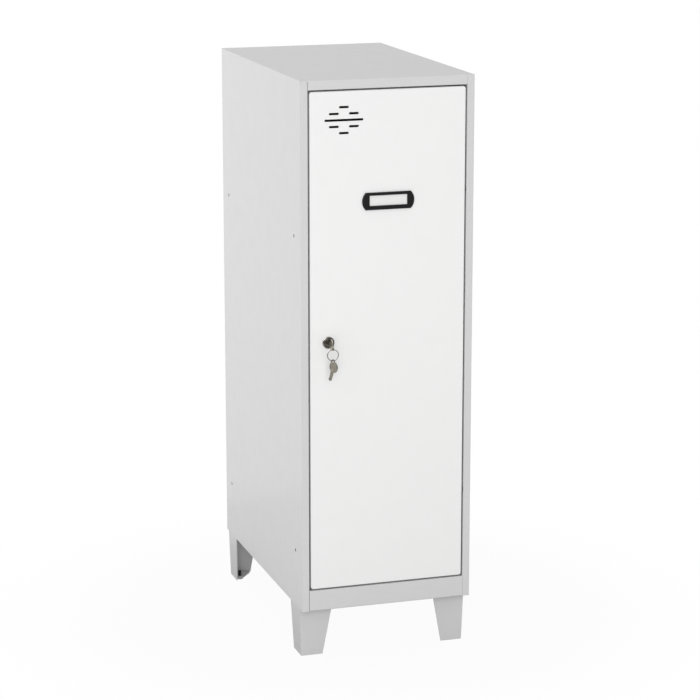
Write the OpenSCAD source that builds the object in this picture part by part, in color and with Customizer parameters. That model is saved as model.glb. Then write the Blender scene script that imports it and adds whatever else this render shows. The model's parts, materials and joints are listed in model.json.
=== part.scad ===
/* [Carcass] */
// Width over the two side panels
body_w = 300; // [280:10:400]
// Depth from the front face to the back face
body_d = 500; // [400:10:600]
// Height of the sheet body, legs left out
body_h = 900; // [880:10:1200]
// Thickness of the body's sheet steel
sheet = 1; // [0.8:0.1:1.4]
// Inside radius of every sheet bend
bend_r = 1; // [0.5:0.1:1.4]
// Width of the folded stile face at each side of the door
stile_w = 13; // [12:0.5:18]
// Height of the rail over the door
top_rail_h = 16; // [14:1:30]
// Height of the rail under the door
bottom_rail_h = 36; // [32:1:60]
// Depth of the recess that the door closes into
jamb_d = 23; // [23:0.5:30]
// Width of the rebate flange that runs round behind the door
rebate_w = 15; // [14:0.5:20]
// Width of the flange that each side panel turns in at the back
rear_flange_w = 15; // [12:1:25]
// Depth of the stiffening flanges under the base and the top
stiffening_flange_h = 15; // [10:1:20]

/* [Fixing holes] */
// Radius of the holes that join one locker to the next
joining_hole_r = 3; // [2.5:0.25:4]
// Distance of the joining holes from the front and the back
joining_from_edge = 40; // [36:1:60]
// Height of the lower joining holes over the body's bottom edge
joining_low_z = 98; // [80:1:140]
// Height of the upper joining holes over the body's bottom edge
joining_high_z = 640; // [500:5:650]
// Radius of the two wall fixing holes in the back
wall_hole_r = 3.5; // [2.5:0.25:5]
// Distance of the wall fixing holes from each other
wall_hole_span = 200; // [120:10:200]
// Distance of the wall fixing holes below the top
wall_hole_drop = 40; // [30:1:80]

/* [Door] */
// Gap between the door and its frame, all round
door_gap = 2.5; // [2:0.1:3.2]
// Depth of the door pan
door_t = 18; // [17:0.5:18.5]
// Corner radius of the door
door_corner_r = 4.5; // [3:0.5:8]
// Width of the flange round the back of the door
door_return_w = 12; // [8:0.5:14]
// Width of the door stiffener's ridge
stiffener_w = 30; // [20:1:32]
// Depth of the door stiffener
stiffener_t = 13; // [8:0.5:15]
// Width of each foot of the door stiffener
stiffener_foot_w = 12; // [8:1:12]
// Radius of the rubber door buffers
buffer_r = 5; // [3:0.5:5.5]

/* [Hinges] */
// Distance of each hinge from the body's top and bottom
hinge_from_end = 190; // [120:5:220]
// Distance of the pivot in from the door's edge
pivot_in = 10; // [9.5:0.1:11]
// Distance of the pivot behind the door's face
pivot_back = 6.5; // [6.2:0.1:7]
// Radius of the hinge pins
pin_r = 2.5; // [2:0.1:2.6]
// Radius of the eye at the end of each hinge lug
eye_r = 5; // [4:0.1:5]
// Thickness of the hinge lugs
lug_t = 3; // [2:0.5:5]
// Width of the lug's arm on the jamb side of the pivot
arm_out = 1.5; // [1:0.1:1.8]
// Half height of the plate that fixes each lug behind the rebate
lug_foot_h = 14; // [10:1:20]
// Thickness of the lug's plate and of the hinge brackets
bracket_t = 2; // [1.5:0.1:2.5]

/* [Vents] */
// Height of each vent slot
vent_h = 3.8; // [2.5:0.1:4.5]
// Length of the six short vent slots
vent_short_w = 16.5; // [10:0.5:17]
// Distance between the two short slots of one row
vent_pitch_x = 34; // [30:1:40]
// Length of the long slot in the middle
vent_long_w = 66; // [50:1:76]
// Distance from one row of slots to the next
vent_pitch_z = 10.6; // [8:0.2:14]
// Distance of the vents' middle from the body's left side
vent_from_left = 74; // [70:1:80]
// Distance of the vents' middle below the body's top
vent_drop = 66; // [60:1:90]

/* [Label holder] */
// Length of the label holder over its curved ends
holder_w = 90; // [88:1:96]
// Height of the label holder
holder_h = 29; // [27:0.5:34]
// Thickness of the label holder
holder_t = 3.2; // [2.8:0.1:4]
// How far the curved ends stand out
holder_bulge = 6; // [3:0.5:9]
// Length of the label window
window_w = 65; // [56:1:66]
// Height of the label window
window_h = 17; // [12:0.5:17]
// Distance of the label holder below the body's top
holder_drop = 202; // [190:1:230]
// Length of the label card
card_w = 69; // [68:0.5:71]
// Height of the label card
card_h = 19; // [18:0.5:20]
// Thickness of the label card
card_t = 0.5; // [0.3:0.1:0.6]
// Radius of the label holder's two pegs
peg_r = 2; // [1.5:0.1:2.5]

/* [Lock] */
// Distance of the lock from the body's left side
lock_from_left = 46.7; // [45:0.1:50]
// Height of the lock over the body's bottom edge
lock_z = 465; // [420:5:480]
// Radius of the lock's round face
rosette_r = 10.3; // [10:0.1:12]
// Thickness of the lock's round face
rosette_t = 3; // [2:0.1:3.5]
// Radius of the lock's threaded barrel
barrel_r = 9; // [8.5:0.1:9.5]
// Half width of the barrel over its two flats
barrel_flat = 8; // [7.5:0.1:8.2]
// Radius of the turning plug
plug_r = 6; // [5.5:0.1:6.4]
// Half width over the flats of the lock nut
nut_half_w = 11; // [10.5:0.1:12]
// Thickness of the lock nut
nut_t = 4; // [3:0.5:6]
// Width of the cam
cam_w = 16; // [12:0.5:16]
// Thickness of the cam
cam_t = 2.5; // [1.5:0.1:3]
// How far the turned cam reaches over the rebate flange
cam_engage = 9.5; // [6:0.5:11]

/* [Keys] */
// Thickness of the keys
key_t = 1.8; // [1.6:0.1:2.2]
// Length of a key's blade
blade_l = 12; // [10:0.5:14]
// Height of a key's blade
blade_h = 6.5; // [5:0.1:6.8]
// Radius of a key's round bow
bow_r = 9.5; // [8:0.1:10]
// Distance of the bow's middle from the blade's shoulder
bow_off = 14; // [12:0.5:16]
// Radius of the hole in a key
key_hole_r = 2.2; // [2.1:0.1:2.4]
// Mean radius of the key ring
ring_r = 9.4; // [9:0.1:12]
// Radius of the key ring's wire
ring_wire_r = 0.7; // [0.5:0.05:0.8]

/* [Shelf and coat rail] */
// Height of the hat shelf over the body's bottom edge
shelf_z = 672; // [665:1:680]
// Height of the shelf's folded front edge
shelf_lip_h = 20; // [12:1:22]
// Distance of the shelf behind the body's front face
shelf_setback = 32; // [30:1:60]
// Width of the ledges that carry the shelf
ledge_w = 15; // [10:1:20]
// Radius of the coat rail
rail_r = 8; // [6:0.5:10]
// Wall of the coat rail
rail_wall = 1.2; // [0.8:0.1:2]
// Distance of the coat rail below the shelf
rail_drop = 45; // [38:1:60]
// Radius of the curved prongs of the coat hooks
hook_r = 13; // [12:0.5:18]
// Radius of the wire of the coat hooks
hook_wire_r = 2.2; // [1.5:0.1:2.5]
// Distance of each coat hook from the middle of the rail
hook_offset = 50; // [50:1:55]

/* [Legs] */
// Length of the legs below the body
leg_l = 87; // [60:1:120]
// Width of each side of a leg at the body
leg_top_w = 57; // [50:1:62]
// Width of a leg's front or rear side at its foot
leg_foot_w = 38; // [36:1:46]
// Width of a leg's left or right side at its foot
leg_foot_d = 44.5; // [40:0.5:50]
// Thickness of the legs' sheet
leg_t = 1.5; // [1.2:0.1:2]
// How much a leg leans in for each millimetre that it drops
leg_lean = 0.03; // [0.02:0.005:0.06]
// Distance of the front legs behind the body's front face
leg_setback = 21; // [20:0.5:30]
// Height of the foot plates over the legs' lower edges
plate_rise = 2.5; // [2.5:0.1:4]
// Radius of the levelling glides' discs
glide_r = 6.5; // [6:0.25:7]
// How far the glides stand out below the legs
glide_out = 0.5; // [0.5:0.1:2]
// Radius of the glides' threaded studs
stud_r = 3; // [2.5:0.5:3.5]
// Height of the studs over the foot plates
stud_rise = 11; // [11:1:18]
// Radius of the screws that hold the legs
leg_screw_r = 3; // [2:0.25:3]

/* [Clearances] */
// Radial clearance where one piece turns or slides on another
running_gap = 0.08; // [0.04:0.01:0.1]
// Clearance round pieces that are only passed through a hole
loose_gap = 0.3; // [0.2:0.05:0.4]

/* [Hidden] */

// Finishes, as they look on the object
frame_grey = [0.78, 0.79, 0.79];
door_white = [0.93, 0.93, 0.92];
nickel = [0.72, 0.71, 0.68];
zinc = [0.66, 0.67, 0.68];
black_plastic = [0.06, 0.06, 0.06];
card_white = [0.95, 0.95, 0.93];
rubber_grey = [0.25, 0.25, 0.26];

// Smoothness of curved faces and of sheet bends
round_steps = 48;
bend_steps = 5;

// Amount by which a cutting tool passes the face that it cuts
over = 1;

// Door outline, and the upright part of the rebate on both rails
rebate_h = 12;
door_left = stile_w + door_gap;
door_right = body_w - door_left;
door_low = bottom_rail_h + door_gap;
door_high = body_h - top_rail_h - door_gap;
door_h = door_high - door_low;
rebate_back = jamb_d + sheet;
buffer_from_end = 60;
stiffener_from_end = 30;
stiffener_air = 4;
stiffener_from_hinge = 85;
back_face = body_d - 2 * sheet;

// Hinges
pivot_x = door_right - pivot_in;
hinge_heights = [body_h - hinge_from_end, hinge_from_end];
arm_left = pivot_x - eye_r;
arm_right = pivot_x + arm_out;
slot_air = 1.5;
setting_slot_front = 3;
setting_slot_half_h = 4;
ear_air = 0.5;
bracket_reach = 8;
pin_head_r = pin_r + 1.5;
pin_head_t = 1.5;
pin_tail = 1.5;

// Label holder
holder_x = body_w / 2;
holder_z = body_h - holder_drop;
window_rise = 1;
pocket_air = 0.25;
pocket_back = 0.8;
pocket_t = card_t + 2 * pocket_air;
pocket_w = card_w + 2 * pocket_air;
pocket_h = card_h + 2 * pocket_air;
peg_from_end = 5;
peg_reach = 3;
barb_r = peg_r + 0.6;
barb_tip = 0.8;
barb_air = 0.1;

// Lock, seen along its axis from the front face backwards
plug_lip_t = 0.9;
plug_lip_r = plug_r + 1.4;
plug_front = -rosette_t - plug_lip_t;
lip_air = 0.1;
cam_air = 0.8;
cam_front = rebate_back + cam_air;
cam_back = cam_front + cam_t;
barrel_short = 2;
barrel_back = cam_front - barrel_short;
cam_reach = lock_from_left - stile_w - rebate_w + cam_engage;
tenon = 6;
keyway_l = blade_l + 3;
cam_screw_r = 4.8;
cam_screw_t = 2.2;

// Keys: the hole sits in a lobe at the low outer corner of the bow, and the spare key's middle of mass
// hangs below its hole. spare_turn is how far the spare key is turned about the vertical.
shoulder_y = plug_front - lip_air;
lobe_r = key_hole_r + 1.6;
lobe_off = bow_off + 8;
lobe_drop = 5;
hang_air = 0.2;
hang = key_hole_r - ring_wire_r - hang_air;
ring_top_y = shoulder_y - lobe_off;
ring_top_z = lock_z - lobe_drop - hang;
ring_centre_z = ring_top_z - ring_r;
ring_low_z = ring_centre_z - ring_r;
spare_hole_z = ring_low_z - hang;
spare_swing = 21.5;
spare_turn = 205;
spare_tilt = -90 - spare_swing;
spare_bow_shift = (lobe_off - bow_off) * cos(spare_tilt) - lobe_drop * sin(spare_tilt);
spare_bow_y = ring_top_y + spare_bow_shift * cos(spare_turn);
spare_front = spare_bow_y - bow_r * abs(cos(spare_turn)) - key_t / 2 * abs(sin(spare_turn));
key_front = min(spare_front, shoulder_y - bow_off - bow_r, shoulder_y - lobe_off - lobe_r);

// Shelf and rail
shelf_low = shelf_z - sheet;
shelf_air = 0.3;
ledge_t = 1.2;
ledge_inset = 14;
rail_y = body_d / 2;
rail_z = shelf_z - rail_drop;
socket_flange_t = 2;
socket_flange_r = rail_r + 6;
socket_l = 10;
socket_r = rail_r + 2.5;
hook_eye_r = rail_r + 3;
hook_eye_w = 8;
hook_stem_l = 16;
hook_tip_ratio = 1.5;

// Legs stand inside the body's corners and reach up to the base
base_low = bottom_rail_h - sheet;
leg_air = 0.1;
leg_inset = sheet + leg_air;
leg_rear_inset = 2 * sheet + leg_air;
leg_flange_t = 2;
leg_flange_short = 5;
leg_zone_air = 8;
leg_zone = leg_setback + leg_top_w + leg_zone_air;
screw_near = 20;
screw_far = 40;
screw_head_r = leg_screw_r * 1.9;
screw_top_r = leg_screw_r * 1.5;
screw_head_t = 2.4;
screw_past_nut = 2;
leg_nut_t = 5;
leg_nut_r = leg_screw_r * 1.9;

// Cross recess in the heads of the leg screws and of the cam screw
recess_t = 1.2;
recess_half_w = 0.6;
recess_half_l = 3.1;
leg_lean_angle = atan(leg_lean);
foot_lean = leg_lean * (base_low + leg_l);
plate_low = plate_rise - leg_l;
foot_c = leg_lean * (base_low - plate_low) + leg_t / 2;

// Foot plates and glides
plate_round = 1.18;
plate_short = 0.6;
plate_inner_short = 2;
plate_cut_in = 5.3;
plate_cut_back = 15;
plate_cut_w = 10;
collar_h = 1.2;
collar_wall = 2.5;
glide_from_side = 8;
glide_from_end = 32.5;
glide_t = plate_rise + glide_out - loose_gap;
glide_bevel = 1;

// The origin is the middle of the ground that the whole object covers, keys and all
floor_z = leg_l + glide_out;
y_front = -(body_d + key_front) / 2;

// Body coordinates: x from the left side, y from the front face, z from the body's bottom edge
module in_body() {
    translate([-body_w / 2, y_front, floor_z]) children();
}

// Same, for a piece that is mirrored across the middle of the body
module in_mirror() {
    in_body() translate([body_w, 0, 0]) mirror([1, 0, 0]) children();
}

// A round bar or bore along the depth, from one depth to another
module round_y(r, from, to) {
    translate([0, from, 0]) rotate([-90, 0, 0]) cylinder(r = r, h = to - from, $fn = round_steps);
}

// A round bar or bore across the width
module round_x(r, from, to) {
    translate([from, 0, 0]) rotate([0, 90, 0]) cylinder(r = r, h = to - from, $fn = round_steps);
}

// A block between two corners
module block(low, high) {
    translate(low) cube(high - low);
}

// Direction from one point of a path to the next, and that direction turned to the left
function heading(a, b) = (b - a) / norm(b - a);
function left_of(d) = [-d[1], d[0]];
function turned(v, a) = [v[0] * cos(a) - v[1] * sin(a), v[0] * sin(a) + v[1] * cos(a)];

// One side of a bent sheet round one corner of its middle line, as an arc about the bend's centre
function bend_side(before, at, after, offset, radius) =
    let (
        from = heading(before, at),
        to = heading(at, after),
        side = sign(from[0] * to[1] - from[1] * to[0]),
        turn = side * acos(max(-1, min(1, from * to))),
        centre = at + side * radius * (left_of(from) + left_of(to)) / (1 + from * to),
        reach = radius - side * offset
    )
    [for (i = [0 : bend_steps]) centre - side * reach * turned(left_of(from), turn * i / bend_steps)];

// One whole side of a bent sheet
function sheet_side(path, offset, radius) =
    let (last = len(path) - 1)
    concat(
        [path[0] + offset * left_of(heading(path[0], path[1]))],
        [for (i = [1 : 1 : last - 1]) each bend_side(path[i - 1], path[i], path[i + 1], offset, radius)],
        [path[last] + offset * left_of(heading(path[last - 1], path[last]))]
    );

function backwards(list) = [for (i = [len(list) - 1 : -1 : 0]) list[i]];

// The cross section of a sheet folded along a middle line
module bent_sheet(path, t = sheet) {
    radius = bend_r + t / 2;
    polygon(concat(sheet_side(path, t / 2, radius), backwards(sheet_side(path, -t / 2, radius))));
}

// A section drawn in depth and height, carried across the width
module across(from, to) {
    translate([from, 0, 0]) rotate([90, 0, 90]) linear_extrude(height = to - from) children();
}

// A plate drawn in width and height, carried back from one depth to another
module plate_y(from, to) {
    translate([0, to, 0]) rotate([90, 0, 0]) linear_extrude(height = to - from) children();
}

// A rectangle with round corners, between two corners
module round_rect(low, high, r) {
    translate([low[0] + r, low[1]]) square([high[0] - low[0] - 2 * r, high[1] - low[1]]);
    translate([low[0], low[1] + r]) square([high[0] - low[0], high[1] - low[1] - 2 * r]);
    for (x = [low[0] + r, high[0] - r]) {
        for (z = [low[1] + r, high[1] - r]) {
            translate([x, z]) circle(r = r, $fn = round_steps);
        }
    }
}

// Side panel: stile, jamb, rebate and rear flange folded from one sheet, as the left one stands
module side_panel() {
    half = sheet / 2;
    section = [
        [stile_w + rebate_w, jamb_d + half],
        [stile_w - half, jamb_d + half],
        [stile_w - half, half],
        [half, half],
        [half, body_d - half],
        [rear_flange_w, body_d - half]
    ];
    difference() {
        linear_extrude(height = body_h) bent_sheet(section);
        // The top panel lies on the folds
        block([sheet, -over, body_h - sheet], [stile_w + rebate_w + over, body_d + over, body_h + over]);
        // The rails carry the rebate across the corners
        block([stile_w, -over, -over],
              [stile_w + rebate_w + over, jamb_d + 2 * over, bottom_rail_h + rebate_h]);
        block([stile_w, -over, body_h - top_rail_h - rebate_h],
              [stile_w + rebate_w + over, jamb_d + 2 * over, body_h]);
        // The jamb ends above the front leg
        block([2 * sheet, leg_setback - running_gap, -over],
              [stile_w + over, jamb_d + 2 * over, base_low]);
        for (y = [joining_from_edge, body_d - joining_from_edge]) {
            for (z = [joining_low_z, joining_high_z]) {
                translate([0, y, z]) round_x(joining_hole_r, -over, sheet + over);
            }
        }
    }
}

module left_side_panel() {
    color(frame_grey) in_body() side_panel();
}

// The hinge side has a notch for each lug and a small setting slot in the jamb beside it
module right_side_panel() {
    color(frame_grey) difference() {
        in_mirror() side_panel();
        in_body() for (z = hinge_heights) {
            block([arm_left - running_gap, jamb_d - over / 2, z - lug_t / 2 - running_gap],
                  [arm_right + running_gap, rebate_back + over, z + lug_t / 2 + running_gap]);
            block([body_w - stile_w - over, setting_slot_front, z - setting_slot_half_h],
                  [body_w - stile_w + sheet + over, pivot_back + pin_r, z + setting_slot_half_h]);
        }
    }
}

module back_panel() {
    color(frame_grey) in_body() difference() {
        block([sheet + bend_r, back_face, 0],
              [body_w - sheet - bend_r, body_d - sheet, body_h - sheet]);
        for (side = [-1, 1]) {
            translate([body_w / 2 + side * wall_hole_span / 2, 0, body_h - wall_hole_drop])
                round_y(wall_hole_r, back_face - over, body_d);
        }
    }
}

// Top with its front folded down and back as the rail over the door
module top_panel() {
    half = sheet / 2;
    rail_low = body_h - top_rail_h + half;
    section = [
        [jamb_d + half, rail_low - half - rebate_h],
        [jamb_d + half, rail_low],
        [half, rail_low],
        [half, body_h - half],
        [body_d, body_h - half]
    ];
    rebate_end = stile_w + rebate_w;
    flange_low = body_h - sheet - stiffening_flange_h;
    color(frame_grey) in_body() {
        difference() {
            across(stile_w, body_w - stile_w) bent_sheet(section);
            // The rear of the top is the full-width plate below
            block([0, body_d / 2, body_h - 2 * sheet], [body_w, body_d + over, body_h + over]);
        }
        block([sheet, 0, body_h - sheet], [stile_w, body_d, body_h]);
        block([body_w - stile_w, 0, body_h - sheet], [body_w - sheet, body_d, body_h]);
        block([stile_w, body_d / 2, body_h - sheet], [body_w - stile_w, body_d, body_h]);
        for (x = [sheet, body_w - 2 * sheet]) {
            block([x, rebate_end + 2 * sheet, flange_low],
                  [x + sheet, back_face - 2 * sheet, body_h - sheet]);
        }
        block([rebate_end, back_face - sheet, flange_low],
              [body_w - rebate_end, back_face, body_h - sheet]);
    }
}

// Where the legs' screws stand, measured from the inner corner of each leg
screw_places = [[screw_near, screw_far], [screw_far, screw_near]];

// The four legs: which side and which end, and the corner that each stands in
leg_ends = [
    [0, 0, leg_inset, leg_setback],
    [1, 0, body_w - leg_inset, leg_setback],
    [0, 1, leg_inset, body_d - leg_rear_inset],
    [1, 1, body_w - leg_inset, body_d - leg_rear_inset]
];

// Places a piece drawn for the front left leg at one of the four corners
module at_leg(i) {
    translate([leg_ends[i][2], leg_ends[i][3], 0])
        mirror([leg_ends[i][0], 0, 0]) mirror([0, leg_ends[i][1], 0]) children();
}

// Floor of the locker, with a stiffening flange along each side between the legs
module base_panel() {
    color(frame_grey) in_body() difference() {
        union() {
            block([sheet, rebate_back, base_low], [body_w - sheet, back_face, bottom_rail_h]);
            for (x = [sheet, body_w - 2 * sheet]) {
                block([x, leg_zone, base_low - stiffening_flange_h],
                      [x + sheet, body_d - leg_zone, base_low]);
            }
            block([leg_zone, back_face - sheet, base_low - stiffening_flange_h],
                  [body_w - leg_zone, back_face, base_low]);
        }
        for (i = [0 : 3]) {
            at_leg(i) for (place = screw_places) {
                translate([place[0], place[1], 0])
                    cylinder(r = leg_screw_r + running_gap, h = body_h / 2, $fn = round_steps);
            }
        }
    }
}

// Rail under the door, folded back as the sill and up as the rebate
module bottom_rail() {
    half = sheet / 2;
    section = [
        [rebate_h, half],
        [half, half],
        [half, bottom_rail_h - half],
        [jamb_d + half, bottom_rail_h - half],
        [jamb_d + half, bottom_rail_h + rebate_h]
    ];
    color(frame_grey) in_body() across(stile_w, body_w - stile_w) bent_sheet(section);
}

// Hat shelf with its front edge folded down and under
module hat_shelf() {
    half = sheet / 2;
    section = [
        [shelf_setback + rebate_h, shelf_z - shelf_lip_h + half],
        [shelf_setback + half, shelf_z - shelf_lip_h + half],
        [shelf_setback + half, shelf_z - half],
        [back_face - shelf_air, shelf_z - half]
    ];
    side = sheet + shelf_air;
    color(frame_grey) in_body() across(side, body_w - side) bent_sheet(section);
}

// Angle that carries one side of the shelf
module shelf_ledge() {
    block([sheet, shelf_setback + ledge_inset, shelf_low - ledge_w],
          [sheet + ledge_t, back_face - ledge_inset, shelf_low]);
    block([sheet, shelf_setback + ledge_inset, shelf_low - ledge_t],
          [sheet + ledge_w, back_face - ledge_inset, shelf_low]);
}

module left_shelf_ledge() {
    color(frame_grey) in_body() shelf_ledge();
}

module right_shelf_ledge() {
    color(frame_grey) in_mirror() shelf_ledge();
}

// Tube that the coat hooks hang on
module coat_rail() {
    end = sheet + socket_flange_t + loose_gap;
    color(zinc) in_body() translate([0, rail_y, rail_z]) difference() {
        round_x(rail_r, end, body_w - end);
        round_x(rail_r - rail_wall, end - over, body_w - end + over);
    }
}

// Flanged cup on the side panel that holds one end of the rail
module rail_socket() {
    translate([0, rail_y, rail_z]) difference() {
        union() {
            round_x(socket_flange_r, sheet, sheet + socket_flange_t);
            round_x(socket_r, sheet, sheet + socket_flange_t + socket_l);
        }
        round_x(rail_r + running_gap, sheet + socket_flange_t, sheet + socket_flange_t + socket_l + over);
    }
}

module left_rail_socket() {
    color(zinc) in_body() rail_socket();
}

module right_rail_socket() {
    color(zinc) in_mirror() rail_socket();
}

// Double coat hook: an eye on the rail, a stem, and two prongs that curl up to round tips
module coat_hook(x) {
    stem_low = -hook_eye_r - hook_stem_l;
    translate([x, rail_y, rail_z]) difference() {
        union() {
            round_x(hook_eye_r, -hook_eye_w / 2, hook_eye_w / 2);
            block([-hook_wire_r, -hook_wire_r, stem_low], [hook_wire_r, hook_wire_r, -rail_r]);
            for (side = [-1, 1]) {
                translate([0, side * hook_r, stem_low]) {
                    rotate([0, 90, 0]) rotate([0, 0, -90]) rotate_extrude(angle = 180, $fn = round_steps)
                        translate([hook_r, 0]) circle(r = hook_wire_r, $fn = 24);
                }
                translate([0, side * 2 * hook_r, stem_low])
                    sphere(r = hook_wire_r * hook_tip_ratio, $fn = 32);
            }
        }
        round_x(rail_r + running_gap, -hook_eye_w, hook_eye_w);
    }
}

module left_coat_hook() {
    color(black_plastic) in_body() coat_hook(body_w / 2 - hook_offset);
}

module right_coat_hook() {
    color(black_plastic) in_body() coat_hook(body_w / 2 + hook_offset);
}

// Lug that passes forward through the rebate into the door and carries the pin
module hinge_lug(z) {
    foot_left = body_w - stile_w - rebate_w + loose_gap;
    foot_right = body_w - stile_w + sheet;
    color(frame_grey) in_body() translate([0, 0, z]) difference() {
        union() {
            translate([pivot_x, pivot_back, -lug_t / 2]) cylinder(r = eye_r, h = lug_t, $fn = round_steps);
            block([arm_left, pivot_back, -lug_t / 2], [arm_right, rebate_back + bracket_t, lug_t / 2]);
            block([foot_left, rebate_back, -lug_foot_h], [foot_right, rebate_back + bracket_t, lug_foot_h]);
        }
        translate([pivot_x, pivot_back, -lug_t])
            cylinder(r = pin_r + running_gap, h = 2 * lug_t, $fn = round_steps);
    }
}

module upper_hinge_lug() {
    hinge_lug(hinge_heights[0]);
}

module lower_hinge_lug() {
    hinge_lug(hinge_heights[1]);
}

// Rubber buffers on the rebate flange, which the closed door stops against
module door_buffers() {
    buffer_t = jamb_d - door_t - loose_gap;
    buffer_x = stile_w + rebate_w / 2;
    color(rubber_grey) in_body() for (z = [door_low + buffer_from_end, door_high - buffer_from_end]) {
        translate([buffer_x, 0, z]) round_y(buffer_r, jamb_d - buffer_t, jamb_d);
    }
}

// Stands a piece drawn against the plane x = 0 against the side of a leg, which leans in as it drops
module leaning() {
    translate([0, 0, base_low]) rotate([0, -leg_lean_angle, 0]) children();
}

// Swaps width and depth, for the side of a leg that faces forwards
module swapped() {
    mirror([1, -1, 0]) children();
}

// One side of a leg, wider at the body than at the foot, and longer than it ends up at the corner and the foot
module leg_side(foot_width) {
    drop = base_low + leg_l + over;
    foot_edge = foot_lean + foot_width;
    top_edge = leg_lean * base_low + leg_top_w;
    leaning() rotate([90, 0, 90]) linear_extrude(height = leg_t) polygon([
        [-leg_t, over],
        [-leg_t, -drop],
        [foot_edge - over * (top_edge - foot_edge) / leg_l, -drop],
        [top_edge, -base_low],
        [top_edge, over]
    ]);
}

// Space outside one side of a leg
module leg_outside() {
    leaning() block([-leg_top_w, -leg_top_w, -2 * leg_l - base_low], [0, 2 * leg_top_w, 2 * over]);
}

// Leg folded from sheet: two tapering sides, a flange under the base and a plate at the foot
module leg_shape() {
    foot_w = leg_foot_w + (leg_top_w - leg_foot_w) * plate_rise / leg_l - leg_t / 2 - plate_short;
    foot_d = leg_foot_d + (leg_top_w - leg_foot_d) * plate_rise / leg_l - leg_t / 2 - plate_short;
    far = 2 * leg_top_w;
    difference() {
        union() {
            difference() {
                union() {
                    leg_side(leg_foot_d);
                    swapped() leg_side(leg_foot_w);
                }
                leg_outside();
                swapped() leg_outside();
                block([-leg_t, -leg_t, base_low], [far, far, base_low + 2 * over]);
                block([-leg_t, -leg_t, -leg_l - 2 * over], [far, far, -leg_l]);
            }
            translate([leg_t / 2, leg_t / 2, base_low - leg_flange_t])
                plate_corner(leg_top_w - leg_flange_short, leg_flange_t);
            translate([foot_c, foot_c, plate_low]) foot_plate(foot_w, foot_d);
            translate([glide_from_side + foot_c, glide_from_end + foot_c, plate_low])
                cylinder(r = stud_r + collar_wall, h = leg_t + collar_h, $fn = round_steps);
        }
        translate([glide_from_side + foot_c, glide_from_end + foot_c, plate_low - over])
            cylinder(r = stud_r + running_gap, h = leg_t + collar_h + 2 * over, $fn = round_steps);
        for (place = screw_places) {
            translate([place[0], place[1], base_low - leg_flange_t - over])
                cylinder(r = leg_screw_r + running_gap, h = leg_flange_t + 2 * over, $fn = round_steps);
        }
    }
}

// A square plate in a leg's corner, with its free corner rounded off
module plate_corner(w, t) {
    linear_extrude(height = t) intersection() {
        square(w);
        circle(r = w * plate_round, $fn = 96);
    }
}

// A plate at the foot that keeps behind the side across it, with its free corner cut off
module foot_plate(w, d) {
    linear_extrude(height = leg_t) polygon([
        [0, 0],
        [w - plate_inner_short, 0],
        [w - plate_cut_in, plate_cut_back],
        [plate_cut_w, d],
        [0, d]
    ]);
}

module front_left_leg() {
    color(frame_grey) in_body() at_leg(0) leg_shape();
}

module front_right_leg() {
    color(frame_grey) in_body() at_leg(1) leg_shape();
}

module rear_left_leg() {
    color(frame_grey) in_body() at_leg(2) leg_shape();
}

module rear_right_leg() {
    color(frame_grey) in_body() at_leg(3) leg_shape();
}

module cross_recess() {
    square([2 * recess_half_w, 2 * recess_half_l], center = true);
    square([2 * recess_half_l, 2 * recess_half_w], center = true);
}

// Screws through the base into the legs' flanges, heads inside the locker
module leg_screws() {
    tip = base_low - leg_flange_t - leg_nut_t - screw_past_nut;
    color(zinc) in_body() for (i = [0 : 3]) {
        at_leg(i) for (place = screw_places) {
            translate([place[0], place[1], 0]) {
                translate([0, 0, tip])
                    cylinder(r = leg_screw_r, h = bottom_rail_h - tip, $fn = round_steps);
                translate([0, 0, bottom_rail_h]) difference() {
                    cylinder(r1 = screw_head_r, r2 = screw_top_r, h = screw_head_t, $fn = round_steps);
                    translate([0, 0, screw_head_t - recess_t])
                        linear_extrude(height = recess_t + over) cross_recess();
                }
            }
        }
    }
}

module leg_nuts() {
    low = base_low - leg_flange_t - leg_nut_t;
    color(zinc) in_body() for (i = [0 : 3]) {
        at_leg(i) for (place = screw_places) {
            translate([place[0], place[1], low]) difference() {
                cylinder(r = leg_nut_r, h = leg_nut_t, $fn = 6);
                translate([0, 0, -over])
                    cylinder(r = leg_screw_r + running_gap, h = leg_nut_t + 2 * over, $fn = round_steps);
            }
        }
    }
}

// Levelling glide: a black disc under the foot plate with a stud screwed up through it
module glide_shape() {
    translate([glide_from_side + foot_c, glide_from_end + foot_c, -floor_z]) {
        cylinder(r1 = glide_r - glide_bevel, r2 = glide_r, h = glide_bevel, $fn = round_steps);
        translate([0, 0, glide_bevel]) cylinder(r = glide_r, h = glide_t - glide_bevel, $fn = round_steps);
        cylinder(r = stud_r, h = glide_out + plate_rise + leg_t + stud_rise, $fn = round_steps);
    }
}

module front_left_glide() {
    color(black_plastic) in_body() at_leg(0) glide_shape();
}

module front_right_glide() {
    color(black_plastic) in_body() at_leg(1) glide_shape();
}

module rear_left_glide() {
    color(black_plastic) in_body() at_leg(2) glide_shape();
}

module rear_right_glide() {
    color(black_plastic) in_body() at_leg(3) glide_shape();
}

// Vent slots: rows of one, two, one long, two and one. Their corner radius is a share of their height.
vent_round = 0.35;
vent_rows = [
    [2, [0], vent_short_w],
    [1, [-0.5, 0.5], vent_short_w],
    [0, [0], vent_long_w],
    [-1, [-0.5, 0.5], vent_short_w],
    [-2, [0], vent_short_w]
];

module vent_outlines() {
    translate([vent_from_left, body_h - vent_drop]) for (row = vent_rows) {
        for (place = row[1]) {
            translate([place * vent_pitch_x, row[0] * vent_pitch_z])
                round_rect([-row[2] / 2, -vent_h / 2], [row[2] / 2, vent_h / 2], vent_h * vent_round);
        }
    }
}

// The barrel's outline: a circle with two flats
module barrel_outline(air) {
    intersection() {
        circle(r = barrel_r + air, $fn = round_steps);
        square([2 * (barrel_flat + air), 3 * barrel_r], center = true);
    }
}

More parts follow.
